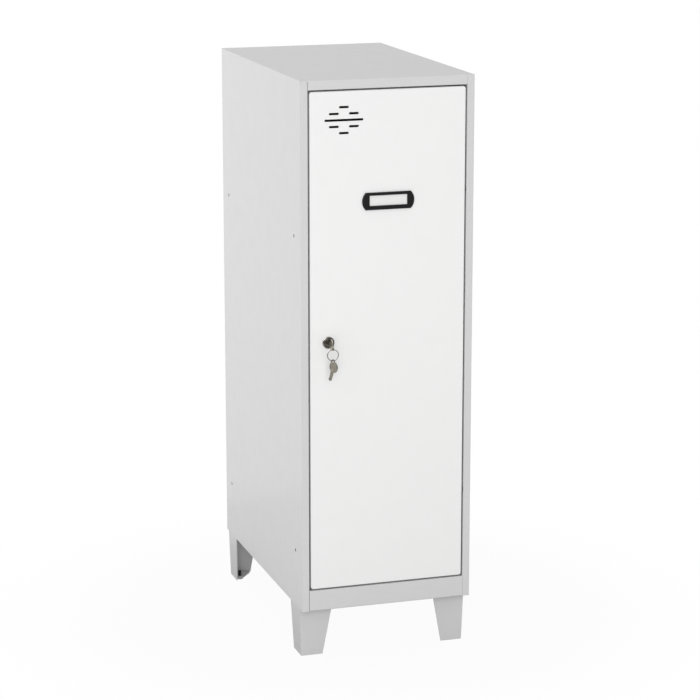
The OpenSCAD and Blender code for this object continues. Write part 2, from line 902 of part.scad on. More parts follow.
// Door pan: a face, four walls and a flange round the back
module door_panel() {
    low = [door_left, door_low];
    high = [door_right, door_high];
    wall = [sheet, sheet];
    rim = [door_return_w, door_return_w];
    color(door_white) in_body() difference() {
        plate_y(0, door_t) round_rect(low, high, door_corner_r);
        plate_y(sheet, door_t - sheet) round_rect(low + wall, high - wall, door_corner_r - sheet);
        plate_y(door_t - 2 * sheet, door_t + over) round_rect(low + rim, high - rim, door_corner_r - sheet);
        plate_y(-over, sheet + over) vent_outlines();
        plate_y(-over, sheet + over) translate([lock_from_left, lock_z]) barrel_outline(loose_gap);
        for (side = [-1, 1]) {
            translate([holder_x + side * (holder_w / 2 - peg_from_end), 0, holder_z])
                round_y(peg_r + running_gap, -over, sheet + over);
        }
        // The hinge lugs reach in through the back and, as the door turns, through its edge
        for (z = hinge_heights) {
            block([arm_left - slot_air, sheet, z - lug_t / 2 - slot_air],
                  [door_right + over, door_t + over, z + lug_t / 2 + slot_air]);
        }
    }
}

// Ridge welded down the inside of the door
module door_stiffener() {
    t = sheet;
    start = max(holder_x + holder_w / 2 + stiffener_air, door_right - stiffener_from_hinge);
    near = sheet + t / 2;
    far = sheet + stiffener_t - t / 2;
    section = [
        [start, near],
        [start + stiffener_foot_w, near],
        [start + stiffener_foot_w, far],
        [start + stiffener_foot_w + stiffener_w, far],
        [start + stiffener_foot_w + stiffener_w, near],
        [start + 2 * stiffener_foot_w + stiffener_w, near]
    ];
    color(door_white) in_body() translate([0, 0, door_low + stiffener_from_end])
        linear_extrude(height = door_h - 2 * stiffener_from_end) bent_sheet(section);
}

// Bracket welded behind the door's face, with an ear over and an ear under the lug
module hinge_bracket(z) {
    ear_low = lug_t / 2 + ear_air;
    ear_high = ear_low + bracket_t;
    web_left = pivot_x - bracket_reach - bracket_t;
    depth = pivot_back + eye_r - sheet / 2;
    color(zinc) in_body() translate([0, 0, z]) difference() {
        block([web_left, sheet, -ear_high], [pivot_x + bracket_reach, depth, ear_high]);
        block([pivot_x - bracket_reach, sheet - over, -ear_low],
              [pivot_x + bracket_reach + over, depth + over, ear_low]);
        translate([pivot_x, pivot_back, -2 * ear_high])
            cylinder(r = pin_r + running_gap / 2, h = 4 * ear_high, $fn = round_steps);
    }
}

module upper_hinge_bracket() {
    hinge_bracket(hinge_heights[0]);
}

module lower_hinge_bracket() {
    hinge_bracket(hinge_heights[1]);
}

// Hinge pin dropped through the bracket's ears and the lug's eye
module hinge_pin(z) {
    reach = lug_t / 2 + ear_air + bracket_t;
    color(zinc) in_body() translate([pivot_x, pivot_back, z]) {
        translate([0, 0, -reach - pin_tail])
            cylinder(r = pin_r, h = 2 * reach + pin_tail, $fn = round_steps);
        translate([0, 0, reach]) cylinder(r = pin_head_r, h = pin_head_t, $fn = round_steps);
    }
}

module upper_hinge_pin() {
    hinge_pin(hinge_heights[0]);
}

module lower_hinge_pin() {
    hinge_pin(hinge_heights[1]);
}

// Outline of the label holder: straight long sides and ends that are arcs
module holder_outline() {
    half = holder_h / 2;
    end_r = (half * half + holder_bulge * holder_bulge) / (2 * holder_bulge);
    intersection() {
        square([2 * holder_w, holder_h], center = true);
        union() {
            square([holder_w - 2 * holder_bulge, holder_h], center = true);
            for (side = [-1, 1]) {
                intersection() {
                    translate([side * (holder_w / 2 - end_r), 0]) circle(r = end_r, $fn = 96);
                    translate([side * holder_w / 2, 0]) square([holder_w, holder_h], center = true);
                }
            }
        }
    }
}

// Label holder with a pocket that is open at its right end, and two barbed pegs through the door
module label_holder() {
    color(black_plastic) in_body() translate([holder_x, 0, holder_z]) {
        difference() {
            plate_y(-holder_t, 0) holder_outline();
            plate_y(-holder_t - over, -pocket_back - pocket_t / 2) translate([0, window_rise])
                square([window_w, window_h], center = true);
            block([-pocket_w / 2, -pocket_back - pocket_t, window_rise - pocket_h / 2],
                  [holder_w, -pocket_back, window_rise + pocket_h / 2]);
        }
        for (side = [-1, 1]) {
            translate([side * (holder_w / 2 - peg_from_end), 0, 0]) {
                round_y(peg_r, -pocket_back / 2, peg_reach);
                translate([0, sheet + barb_air, 0]) rotate([-90, 0, 0])
                    cylinder(r1 = barb_r, r2 = peg_r * barb_tip, h = peg_reach - sheet, $fn = round_steps);
            }
        }
    }
}

module label_card() {
    middle = -pocket_back - pocket_t / 2;
    color(card_white) in_body() translate([holder_x, 0, holder_z + window_rise])
        block([-card_w / 2, middle - card_t / 2, -card_h / 2],
              [card_w / 2, middle + card_t / 2, card_h / 2]);
}

// Places a piece drawn about the lock's axis
module at_lock() {
    in_body() translate([lock_from_left, 0, lock_z]) children();
}

// Lock housing: round face with a bevelled rim, and a barrel with two flats
module lock_housing() {
    rim = 0.8;
    color(nickel) at_lock() difference() {
        union() {
            round_y(rosette_r, -rosette_t + rim, 0);
            translate([0, -rosette_t, 0]) rotate([-90, 0, 0])
                cylinder(r1 = rosette_r - rim, r2 = rosette_r, h = rim, $fn = round_steps);
            plate_y(0, barrel_back) barrel_outline(0);
        }
        round_y(plug_r + running_gap, -rosette_t - over, barrel_back + over);
    }
}

module lock_nut() {
    color(zinc) at_lock() difference() {
        plate_y(sheet, sheet + nut_t) circle(r = nut_half_w / cos(30), $fn = 6);
        round_y(barrel_r + running_gap, 0, sheet + nut_t + over);
    }
}

// Plug with its keyway at the front and a square tenon for the cam at the back
module lock_plug() {
    keyway_w = key_t + loose_gap;
    keyway_h = blade_h + 2 * loose_gap;
    color(nickel) at_lock() difference() {
        union() {
            round_y(plug_r, plug_front, cam_front);
            round_y(plug_lip_r, plug_front, -rosette_t - lip_air);
            block([-tenon / 2, cam_front - over, -tenon / 2], [tenon / 2, cam_back, tenon / 2]);
        }
        block([-keyway_w / 2, plug_front - over, -keyway_h / 2],
              [keyway_w / 2, plug_front + keyway_l, keyway_h / 2]);
    }
}

// Cam, pointing down while the lock is open
module lock_cam() {
    tip_r = cam_w / 2;
    color(zinc) at_lock() plate_y(cam_front, cam_back) difference() {
        union() {
            circle(r = tip_r, $fn = round_steps);
            translate([-tip_r, -cam_reach + tip_r]) square([cam_w, cam_reach - tip_r]);
            translate([0, -cam_reach + tip_r]) circle(r = tip_r, $fn = round_steps);
        }
        square(tenon + running_gap, center = true);
    }
}

module cam_screw() {
    color(zinc) at_lock() difference() {
        round_y(cam_screw_r, cam_back, cam_back + cam_screw_t);
        plate_y(cam_back + cam_screw_t - recess_t, cam_back + cam_screw_t + over) cross_recess();
    }
}

// Key in its own plane: blade along +x from the shoulder, round bow behind it, holed lobe low at the end
module key_outline() {
    difference() {
        union() {
            translate([-bow_off, 0]) circle(r = bow_r, $fn = round_steps);
            translate([-lobe_off, -lobe_drop]) circle(r = lobe_r, $fn = round_steps);
            translate([-bow_off, -blade_h / 2]) square([bow_off, blade_h]);
            translate([-over, -blade_h / 2]) square([blade_l - blade_h / 4 + over, blade_h]);
            polygon([
                [blade_l - blade_h / 4, -blade_h / 2],
                [blade_l, -blade_h / 5],
                [blade_l, blade_h / 5],
                [blade_l - blade_h / 4, blade_h / 2]
            ]);
        }
        translate([-lobe_off, -lobe_drop]) circle(r = key_hole_r, $fn = round_steps);
    }
}

module key_plate() {
    across(-key_t / 2, key_t / 2) key_outline();
}

module lock_key() {
    color(nickel) at_lock() translate([0, shoulder_y, 0]) key_plate();
}

// Ring hanging in the key's hole, parallel to the door
module key_ring() {
    color(nickel) in_body() translate([lock_from_left, ring_top_y, ring_centre_z]) rotate([90, 0, 0])
        rotate_extrude($fn = 96) translate([ring_r, 0]) circle(r = ring_wire_r, $fn = 24);
}

// Spare key hanging by its hole from the ring, blade down
module spare_key() {
    color(nickel) in_body() translate([lock_from_left, ring_top_y, spare_hole_z])
        rotate([0, 0, spare_turn]) rotate([spare_tilt, 0, 0])
        translate([0, lobe_off, lobe_drop]) key_plate();
}

left_side_panel();
right_side_panel();
back_panel();
top_panel();
base_panel();
bottom_rail();
hat_shelf();
left_shelf_ledge();
right_shelf_ledge();
coat_rail();
left_rail_socket();
right_rail_socket();
left_coat_hook();
right_coat_hook();
upper_hinge_lug();
lower_hinge_lug();
door_buffers();
front_left_leg();
front_right_leg();
rear_left_leg();
rear_right_leg();
leg_screws();
leg_nuts();
front_left_glide();
front_right_glide();
rear_left_glide();
rear_right_glide();
door_panel();
door_stiffener();
upper_hinge_bracket();
lower_hinge_bracket();
upper_hinge_pin();
lower_hinge_pin();
label_holder();
label_card();
lock_housing();
lock_nut();
lock_plug();
lock_cam();
cam_screw();
lock_key();
key_ring();
spare_key();
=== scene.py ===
# %% [markdown]
# # A sheet-metal locker, dressed for the camera
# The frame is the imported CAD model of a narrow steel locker: folded grey panels, one white door, four
# tapered legs, a cam lock with its keys, and a shelf and coat rail inside. Every piece below is worked out
# in millimetres from the body's front left bottom corner, and then placed in the frame's metres.

# %% Load the frame
import json
import math

import bmesh
import bpy
import numpy as np
from mathutils import Matrix, Vector
from mathutils.geometry import delaunay_2d_cdt


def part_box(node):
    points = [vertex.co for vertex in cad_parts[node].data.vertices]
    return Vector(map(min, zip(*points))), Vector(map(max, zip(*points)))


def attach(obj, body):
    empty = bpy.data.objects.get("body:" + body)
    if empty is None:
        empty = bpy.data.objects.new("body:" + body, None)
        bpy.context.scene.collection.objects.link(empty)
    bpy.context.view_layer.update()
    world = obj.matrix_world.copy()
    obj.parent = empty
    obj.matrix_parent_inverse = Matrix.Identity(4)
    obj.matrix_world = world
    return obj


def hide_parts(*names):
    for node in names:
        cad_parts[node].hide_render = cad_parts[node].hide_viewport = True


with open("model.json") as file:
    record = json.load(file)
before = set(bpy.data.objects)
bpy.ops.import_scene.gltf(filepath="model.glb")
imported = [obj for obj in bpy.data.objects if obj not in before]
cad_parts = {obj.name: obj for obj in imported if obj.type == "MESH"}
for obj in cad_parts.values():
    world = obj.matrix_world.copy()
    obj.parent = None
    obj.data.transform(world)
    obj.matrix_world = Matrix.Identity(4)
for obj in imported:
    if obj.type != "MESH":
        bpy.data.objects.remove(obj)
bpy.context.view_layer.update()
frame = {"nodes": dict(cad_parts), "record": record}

# %% [markdown]
# ## Sizes
# The body's own corner is read from the frame, so nothing has to be fitted by eye. The sheet's thickness,
# the fold lines and the fittings are the few driving sizes that the CAD model also has.

# %% Driving sizes in millimetres
MM = 0.001
side_low, side_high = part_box("left_side_panel")
CORNER = np.array(side_low)
BODY_W = (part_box("right_side_panel")[1].x - side_low.x) / MM
BODY_D = (side_high.y - side_low.y) / MM
BODY_H = (side_high.z - side_low.z) / MM
SHEET = 1.0
HALF = SHEET / 2
BEND_R = 1.5
STILE_W = 13.0
TOP_RAIL_H = 16.0
BOTTOM_RAIL_H = 36.0
JAMB_D = 23.0
REBATE_W = 15.0
REBATE_H = 12.0
REAR_FLANGE_W = 15.0
DOOR_GAP = 2.5
DOOR_T = 18.0
BASE_LOW = BOTTOM_RAIL_H - SHEET
BACK_FACE = BODY_D - 2 * SHEET
HINGE_HEIGHTS = (BODY_H - 190.0, 190.0)
PIVOT = (BODY_W - STILE_W - DOOR_GAP - 10.0, 6.5)
print("body", BODY_W, BODY_D, BODY_H)


def to_frame(points):
    """Body millimetres to the frame's metres: the body's corner plus a thousandth of each coordinate."""
    return CORNER + np.asarray(points, float) * MM


# %% [markdown]
# ## Camera
# The photograph was taken from the left, a little above, with a long lens. Placing the camera by azimuth,
# elevation and distance, as a photographer would, keeps the perspective of the receding side right.


# %% Helpers for the camera, the lamps and the pieces
def linked(name, data):
    """An object of some data, linked to the scene."""
    made = bpy.data.objects.new(name, data)
    bpy.context.scene.collection.objects.link(made)
    return made


def look(thing, place, way):
    """Puts a camera or a lamp at a place and turns it to look a given way."""
    thing.location = place
    thing.rotation_mode = "QUATERNION"
    thing.rotation_quaternion = Vector(way).to_track_quat("-Z", "Y")


# %% Camera
CAMERA_AZIMUTH = -17.49
CAMERA_ELEVATION = 13.23
CAMERA_AT = to_frame((-1133.8, -3865.8, 1402.7))
LENS_MM = 129.0
SENSOR_MM = 36.0

azimuth, elevation = math.radians(CAMERA_AZIMUTH), math.radians(CAMERA_ELEVATION)
towards = (
    -math.sin(azimuth) * math.cos(elevation),
    math.cos(azimuth) * math.cos(elevation),
    -math.sin(elevation),
)
camera_data = bpy.data.cameras.new("camera")
camera_data.lens = LENS_MM
camera_data.sensor_width = SENSOR_MM
camera = linked("camera", camera_data)
look(camera, CAMERA_AT, towards)
bpy.context.scene.camera = camera
bpy.context.scene.view_settings.view_transform = "Standard"
print("camera at", [round(v, 3) for v in camera.location])

# %% [markdown]
# ## Finishes
# Each finish is a small node tree on Object coordinates. The powder coat has the fine orange peel that
# sprayed and baked paint always shows; plated metal has faint polishing streaks; moulded plastic has a
# fine spark-eroded grain. Roughness and bump come from noise, so highlights break up as on the real thing.


# %% Node helpers
def new_finish(name):
    """A node material: itself, its node tree and its Principled shader."""
    finish = bpy.data.materials.new(name)
    finish.use_nodes = True
    tree = finish.node_tree
    return finish, tree, tree.nodes["Principled BSDF"]


def noise(tree, scale, detail=2.0, stretch=None):
    """Noise on Object coordinates; stretch is a scale for each axis, for streaks."""
    place = tree.nodes.new("ShaderNodeTexCoord")
    texture = tree.nodes.new("ShaderNodeTexNoise")
    texture.inputs["Scale"].default_value = scale
    texture.inputs["Detail"].default_value = detail
    source = place.outputs["Object"]
    if stretch:
        mapping = tree.nodes.new("ShaderNodeMapping")
        mapping.inputs["Scale"].default_value = stretch
        tree.links.new(source, mapping.inputs["Vector"])
        source = mapping.outputs["Vector"]
    tree.links.new(source, texture.inputs["Vector"])
    return texture.outputs["Fac"]


def ramp(tree, value, start, end, low, high, kind="SMOOTHSTEP"):
    """Maps a value from start to end onto low to high, and keeps it there outside; smooth or linear."""
    node = tree.nodes.new("ShaderNodeMapRange")
    node.interpolation_type = kind
    for name, number in (("From Min", start), ("From Max", end), ("To Min", low), ("To Max", high)):
        node.inputs[name].default_value = number
    tree.links.new(value, node.inputs["Value"])
    return node.outputs["Result"]


def spread(tree, value, low, high):
    """Maps the middle of a noise, 0.3 to 0.7, onto low to high."""
    return ramp(tree, value, 0.3, 0.7, low, high, "LINEAR")


def tint(tree, shader, value, dark, light):
    """Base colour between two tones by a value from 0 to 1."""
    blend = tree.nodes.new("ShaderNodeMix")
    blend.data_type = "RGBA"
    blend.inputs["A"].default_value = (*dark, 1.0)
    blend.inputs["B"].default_value = (*light, 1.0)
    tree.links.new(value, blend.inputs["Factor"])
    tree.links.new(blend.outputs["Result"], shader.inputs["Base Color"])


def bump(tree, shader, heights, distance, strength):
    """Bump from a height value; distance is the height in metres that a value of 1 stands for."""
    node = tree.nodes.new("ShaderNodeBump")
    node.inputs["Distance"].default_value = distance
    node.inputs["Strength"].default_value = strength
    tree.links.new(heights, node.inputs["Height"])
    tree.links.new(node.outputs["Normal"], shader.inputs["Normal"])


# %% Powder coat
def powder_coat(name, colour, roughness):
    """Baked powder paint: a plain colour that hardly varies, orange peel about a millimetre across."""
    finish, tree, shader = new_finish(name)
    shade = spread(tree, noise(tree, 30.0, 3.0), 0.0, 1.0)
    tint(tree, shader, shade, [c * 0.993 for c in colour], [c * 1.004 for c in colour])
    peel = noise(tree, 900.0, 1.0)
    gloss = spread(tree, noise(tree, 35.0, 2.0), roughness - 0.03, roughness + 0.04)
    tree.links.new(gloss, shader.inputs["Roughness"])
    bump(tree, shader, peel, 0.00004, 0.35)
    shader.inputs["IOR"].default_value = 1.5
    shader.inputs["Coat Weight"].default_value = 0.5
    shader.inputs["Coat Roughness"].default_value = 0.13
    return finish


FRAME_GREY = (0.57, 0.57, 0.57)
DOOR_WHITE = (0.76, 0.76, 0.757)
frame_paint = powder_coat("frame_powder_coat", FRAME_GREY, 0.42)
door_paint = powder_coat("door_powder_coat", DOOR_WHITE, 0.40)


# %% Plated metal
def plated(name, colour, roughness, streak=(1.0, 1.0, 12.0), spangle=0.0):
    """Plated steel: full metal, faint polishing streaks, and zinc's cloudy spangle where it is asked for."""
    finish, tree, shader = new_finish(name)
    cloud = spread(tree, noise(tree, 60.0, 3.0), 0.0, 1.0)
    tint(tree, shader, cloud, [c * (0.94 - spangle) for c in colour], colour)
    streaks = noise(tree, 420.0, 2.0, streak)
    tree.links.new(spread(tree, streaks, roughness * 0.75, roughness * 1.3), shader.inputs["Roughness"])
    bump(tree, shader, streaks, 0.00001, 0.25)
    shader.inputs["Metallic"].default_value = 1.0
    return finish


chrome = plated("lock_chrome", (0.50, 0.48, 0.45), 0.20)
key_nickel = plated("key_nickel", (0.58, 0.54, 0.44), 0.22)
dull_nickel = plated("dull_nickel", (0.32, 0.30, 0.25), 0.26)
ring_steel = plated("ring_steel", (0.66, 0.66, 0.67), 0.18)
zinc_steel = plated("zinc_plate", (0.62, 0.63, 0.65), 0.34, spangle=0.10)


# %% Plastic, card and rubber
def moulded(name, colour, roughness, grain=700.0, depth=0.00003):
    """Moulded plastic or rubber: one colour with a fine even grain from the mould."""
    finish, tree, shader = new_finish(name)
    tint(tree, shader, spread(tree, noise(tree, 45.0), 0.0, 1.0), [c * 0.9 for c in colour], colour)
    gloss = spread(tree, noise(tree, 90.0), roughness - 0.05, roughness + 0.06)
    tree.links.new(gloss, shader.inputs["Roughness"])
    bump(tree, shader, noise(tree, grain, 1.0), depth, 0.4)
    return finish


black_plastic = moulded("black_plastic", (0.014, 0.014, 0.015), 0.36)
rubber = moulded("buffer_rubber", (0.035, 0.035, 0.036), 0.75, 400.0, 0.00005)


def paper(name, colour):
    """Card: matt, with short fibres that lie across it."""
    finish, tree, shader = new_finish(name)
    fibres = noise(tree, 600.0, 4.0, (1.0, 1.0, 3.0))
    tint(tree, shader, spread(tree, fibres, 0.0, 1.0), [c * 0.965 for c in colour], colour)
    tree.links.new(spread(tree, fibres, 0.80, 0.95), shader.inputs["Roughness"])
    bump(tree, shader, fibres, 0.00002, 0.3)
    return finish


card_paper = paper("card_paper", (0.69, 0.69, 0.68))

# %% Finishes on the CAD nodes
SLOT_FINISH = {
    "frame_paint": frame_paint,
    "door_paint": door_paint,
    "nickel": chrome,
    "zinc_steel": zinc_steel,
    "black_plastic": black_plastic,
    "card": card_paper,
    "rubber": rubber,
}
slot_of = {part["node"]: part["material_slot"] for part in frame["record"]["subparts"]}
for node_name, node in frame["nodes"].items():
    node.data.materials.clear()
    node.data.materials.append(SLOT_FINISH[slot_of[node_name]])
print("finishes on", len(slot_of), "nodes")

# %% [markdown]
# ## Floor, light and background
# The photograph is lit softly from everywhere, with one lamp near the camera and one at the left rear, so
# its shadows are very faint. The white floor also glows by itself, more so away from the locker: painted
# bounce light, with painted shade near the locker. The camera sees the floor as white there, and near the
# locker as its own light and shade.
#
# Gloss mirrors a painted room of its own, which nothing else sees: a painted reflection, white behind and
# dark in front, and a painted highlight up on the left, which puts the bright spot on the lock. No gloss
# mirrors the lamps, which would burn the top out in views from behind.


# %% World
def combined(tree, operation, first, second):
    """Two values joined by a math node; the second may be a plain number."""
    node = tree.nodes.new("ShaderNodeMath")
    node.operation = operation
    tree.links.new(first, node.inputs[0])
    if isinstance(second, float):
        node.inputs[1].default_value = second
    else:
        tree.links.new(second, node.inputs[1])
    return node.outputs[0]


def switched(tree, share, first, second):
    """The second shader where share is 1, the first where it is 0."""
    node = tree.nodes.new("ShaderNodeMixShader")
    tree.links.new(share, node.inputs["Fac"])
    tree.links.new(first, node.inputs[1])
    tree.links.new(second, node.inputs[2])
    return node.outputs[0]


def glow(tree, kind, strength):
    """A white light shader of a fixed or a computed strength."""
    node = tree.nodes.new(kind)
    node.inputs["Color"].default_value = (1.0, 1.0, 1.0, 1.0)
    if isinstance(strength, float):
        node.inputs["Strength"].default_value = strength
    else:
        tree.links.new(strength, node.inputs["Strength"])
    return node.outputs[0]


# Levels of the light from everywhere, and of the painted reflection and painted highlight that only gloss
# sees
WORLD_LEVEL, CEILING_LEVEL = 0.70, 0.22
REFLECTED_DARK, REFLECTED_WHITE, OVERHEAD_LEVEL = 0.05, 0.65, 0.38
HIGHLIGHT_WAY, HIGHLIGHT_LEVEL = (-0.63, -0.36, 0.69), 2.6
world = bpy.data.worlds.new("white_room")
bpy.context.scene.world = world
world.use_nodes = True
sky = world.node_tree
sky.nodes.remove(sky.nodes["Background"])
sky_rays = sky.nodes.new("ShaderNodeLightPath")
sky_way = sky.nodes.new("ShaderNodeSeparateXYZ")
sky_place = sky.nodes.new("ShaderNodeTexCoord").outputs["Generated"]
sky.links.new(sky_place, sky_way.inputs[0])
near_highlight = sky.nodes.new("ShaderNodeVectorMath")
near_highlight.operation = "DOT_PRODUCT"
near_highlight.inputs[1].default_value = HIGHLIGHT_WAY
sky.links.new(sky_place, near_highlight.inputs[0])
# Gloss only: a painted reflection, dark in front, white behind, brighter overhead, and a painted highlight
# patch up on the left
behind = ramp(sky, sky_way.outputs["Y"], -0.45, 0.05, REFLECTED_DARK, REFLECTED_WHITE)
overhead = ramp(sky, sky_way.outputs["Z"], 0.40, 0.80, 0.0, OVERHEAD_LEVEL)
highlight_patch = ramp(sky, near_highlight.outputs["Value"], 0.88, 0.96, 0.0, HIGHLIGHT_LEVEL)
ceiling = ramp(sky, sky_way.outputs["Z"], 0.20, 0.90, 0.0, CEILING_LEVEL)
lit = glow(sky, "ShaderNodeBackground", combined(sky, "ADD", ceiling, WORLD_LEVEL))
room_gloss = combined(sky, "ADD", combined(sky, "ADD", behind, overhead), highlight_patch)
mirrored = glow(sky, "ShaderNodeBackground", room_gloss)
seen = glow(sky, "ShaderNodeBackground", 1.0)
room = switched(sky, sky_rays.outputs["Is Glossy Ray"], lit, mirrored)
room = switched(sky, sky_rays.outputs["Is Camera Ray"], room, seen)
sky.links.new(room, sky.nodes["World Output"].inputs["Surface"])

# %% Floor
# Metres from the middle, and levels of white: near the locker gloss mirrors a darker floor, which is painted
# shade in a painted reflection
FLOOR_HALF, FLOOR_GREY = 30.0, 0.45
SHADOW_NEAR, SHADOW_FAR, PAINTED_BOUNCE_FAR = 0.35, 0.75, 1.1
FLOOR_SHARE, PAINTED_BOUNCE_LOW, PAINTED_BOUNCE_HIGH = 0.95, 0.06, 0.37
SWEEP_Y, SWEEP_SOFT, SWEEP_LOW, SWEEP_HIGH = 0.73, 0.06, 0.86, 1.04
MIRRORED_SHADE_LEVEL = 0.55
floor_mesh = bpy.data.meshes.new("floor")
floor_signs = ((-1, -1, 0), (1, -1, 0), (1, 1, 0), (-1, 1, 0))
floor_mesh.from_pydata((np.array(floor_signs) * FLOOR_HALF).tolist(), [], [(0, 1, 2, 3)])
floor = linked("floor", floor_mesh)
floor_paint = bpy.data.materials.new("white_floor")
floor_paint.use_nodes = True
ground = floor_paint.node_tree
ground.nodes.remove(ground.nodes["Principled BSDF"])
ground_rays = ground.nodes.new("ShaderNodeLightPath")
ground_place = ground.nodes.new("ShaderNodeSeparateXYZ")
object_place = ground.nodes.new("ShaderNodeTexCoord").outputs["Object"]
ground.links.new(object_place, ground_place.inputs[0])
ground_far = ground.nodes.new("ShaderNodeVectorMath")
ground_far.operation = "LENGTH"
ground.links.new(object_place, ground_far.inputs[0])
ground_white = ground.nodes.new("ShaderNodeBsdfDiffuse")
ground_white.inputs["Color"].default_value = (FLOOR_GREY, FLOOR_GREY, FLOOR_GREY, 1.0)
ground_sum = ground.nodes.new("ShaderNodeAddShader")
ground.links.new(ground_white.outputs[0], ground_sum.inputs[0])
# The floor glows by itself: painted bounce light, weaker near the locker as painted shade
painted_bounce = ramp(ground, ground_far.outputs["Value"], SHADOW_NEAR, PAINTED_BOUNCE_FAR, PAINTED_BOUNCE_LOW, PAINTED_BOUNCE_HIGH)
ground.links.new(glow(ground, "ShaderNodeEmission", painted_bounce), ground_sum.inputs[1])
ground_x, ground_y = ground_place.outputs["X"], ground_place.outputs["Y"]
# Gloss only: a painted reflection of the floor, with a step to brighter white behind, dark in front, and
# painted shade beside and under the locker
sweep_reflection = ramp(ground, ground_y, SWEEP_Y - SWEEP_SOFT, SWEEP_Y + SWEEP_SOFT, SWEEP_LOW, SWEEP_HIGH)
in_front = ramp(ground, ground_y, -1.5, -0.4, REFLECTED_DARK, 1.0)
beside = ramp(ground, combined(ground, "ABSOLUTE", ground_x, 0.0), 0.19, 0.24, MIRRORED_SHADE_LEVEL, 1.0)
beyond = ramp(ground, combined(ground, "ABSOLUTE", ground_y, 0.0), 0.40, 0.50, MIRRORED_SHADE_LEVEL, 1.0)
shade = combined(ground, "MULTIPLY", combined(ground, "MAXIMUM", beside, beyond), in_front)
floor_gloss = glow(ground, "ShaderNodeEmission", combined(ground, "MULTIPLY", sweep_reflection, shade))
share = ramp(ground, ground_far.outputs["Value"], SHADOW_NEAR, SHADOW_FAR, FLOOR_SHARE, 1.0)
surface = switched(ground, ground_rays.outputs["Is Glossy Ray"], ground_sum.outputs[0], floor_gloss)
camera_share = combined(ground, "MULTIPLY", ground_rays.outputs["Is Camera Ray"], share)
surface = switched(ground, camera_share, surface, glow(ground, "ShaderNodeEmission", 1.0))
ground.links.new(surface, ground.nodes["Material Output"].inputs["Surface"])
floor_mesh.materials.append(floor_paint)
print("floor", 2 * FLOOR_HALF, "m wide")


# %% Lamps
def softbox(name, place, aim, size, watts):
    """A square area lamp at place, turned towards aim, that no gloss mirrors."""
    lamp = bpy.data.lights.new(name, "AREA")
    lamp.size = size
    lamp.energy = watts
    holder = linked(name, lamp)
    holder.visible_glossy = False
    look(holder, place, Vector(aim) - Vector(place))


softbox("camera_lamp", (-0.65, -3.0, 1.0), (0.0, 0.0, 0.6), 2.0, 39.5)
softbox("left_rear_lamp", (-2.0, 1.5, 2.0), (-0.1, 0.1, 0.5), 1.4, 26.0)
print("lamps", [lamp.name for lamp in bpy.data.lights])

# %% [markdown]
# ## Tools for folded sheet
# A locker is folded from flat blanks. So each panel here is a flat pattern, cut with its holes and notches,
# that is then folded: a point of the pattern goes along the folded line and along the fold. The bends are
# creases in the pattern, a few lines to each arc, and the sheet's two faces lie half its thickness off.


# %% Flat pattern
def inside(places, loops):
    """True where a place lies inside an odd number of loops, by counting the edges to its right."""
    crossings = np.zeros(len(places), int)
    x, y = places[:, :1], places[:, 1:]
    for loop in loops:
        a, b = loop, np.roll(loop, -1, 0)
        rise = b[:, 1] - a[:, 1]
        at = a[:, 0] + (y - a[:, 1]) * (b[:, 0] - a[:, 0]) / np.where(rise == 0, 1.0, rise)
        crossings += (((a[:, 1] > y) != (b[:, 1] > y)) & (x < at)).sum(1)
    return crossings % 2 == 1


def cut(loops, creases=()):
    """Flat points and triangles of a pattern: loops and creases triangulated, what lies outside left out."""
    loops = [np.asarray(loop, float) for loop in loops]
    starts = np.cumsum([0] + [len(loop) for loop in loops])
    points = [tuple(p) for loop in loops for p in loop]
    edges = [
        (int(start + i), int(start + (i + 1) % len(loop)))
        for start, loop in zip(starts, loops)
        for i in range(len(loop))
    ]
    for a, b in creases:
        edges.append((len(points), len(points) + 1))
        points += [tuple(a), tuple(b)]
    made = delaunay_2d_cdt([Vector(p) for p in points], edges, [], 0, 1e-5, True)
    flat = np.array([points[ids[0]] if ids else tuple(v) for v, ids in zip(made[0], made[3])])
    triangles = np.array([tuple(f) for f in made[2]])
    kept = triangles[inside(flat[triangles].mean(1), loops)]
    used, kept = np.unique(kept, return_inverse=True)
    return flat[used], kept.reshape(-1, 3)


def full_turn(steps):
    """Angles spread evenly round a full turn."""
    return np.arange(steps) * 2 * math.pi / steps


def polar(centre, radius, a):
    """Points at an angle and a radius from a centre: (x + r cos a, y + r sin a)."""
    return np.column_stack([centre[0] + radius * np.cos(a), centre[1] + radius * np.sin(a)])


def ring(centre, radius, steps=24):
    """A circle of points."""
    return polar(centre, radius, full_turn(steps))


def rectangle(low, high):
    """The four corners between two corners."""
    return np.array([(low[0], low[1]), (high[0], low[1]), (high[0], high[1]), (low[0], high[1])], float)


def rounded(loop, radii, steps=6):
    """A loop whose corners are arcs, each from one tangent point of its corner to the other."""
    loop = np.asarray(loop, float)
    radii = np.broadcast_to(np.asarray(radii, float), len(loop))
    parts = []
    for before, at, after, radius in zip(np.roll(loop, 1, 0), loop, np.roll(loop, -1, 0), radii):
        if radius == 0:
            parts.append(at[None])
            continue
        u, v = (before - at) / np.linalg.norm(before - at), (after - at) / np.linalg.norm(after - at)
        half = math.acos(np.clip(u @ v, -1, 1)) / 2
        centre = at + (u + v) / np.linalg.norm(u + v) * radius / math.sin(half)
        start, end = at + u * radius / math.tan(half) - centre, at + v * radius / math.tan(half) - centre
        turn = math.atan2(start[0] * end[1] - start[1] * end[0], start @ end)
        a = np.linspace(0, turn, steps + 1)[:, None]
        side = np.array([-start[1], start[0]])
        parts.append(centre + start * np.cos(a) + side * np.sin(a))
    return np.concatenate(parts)


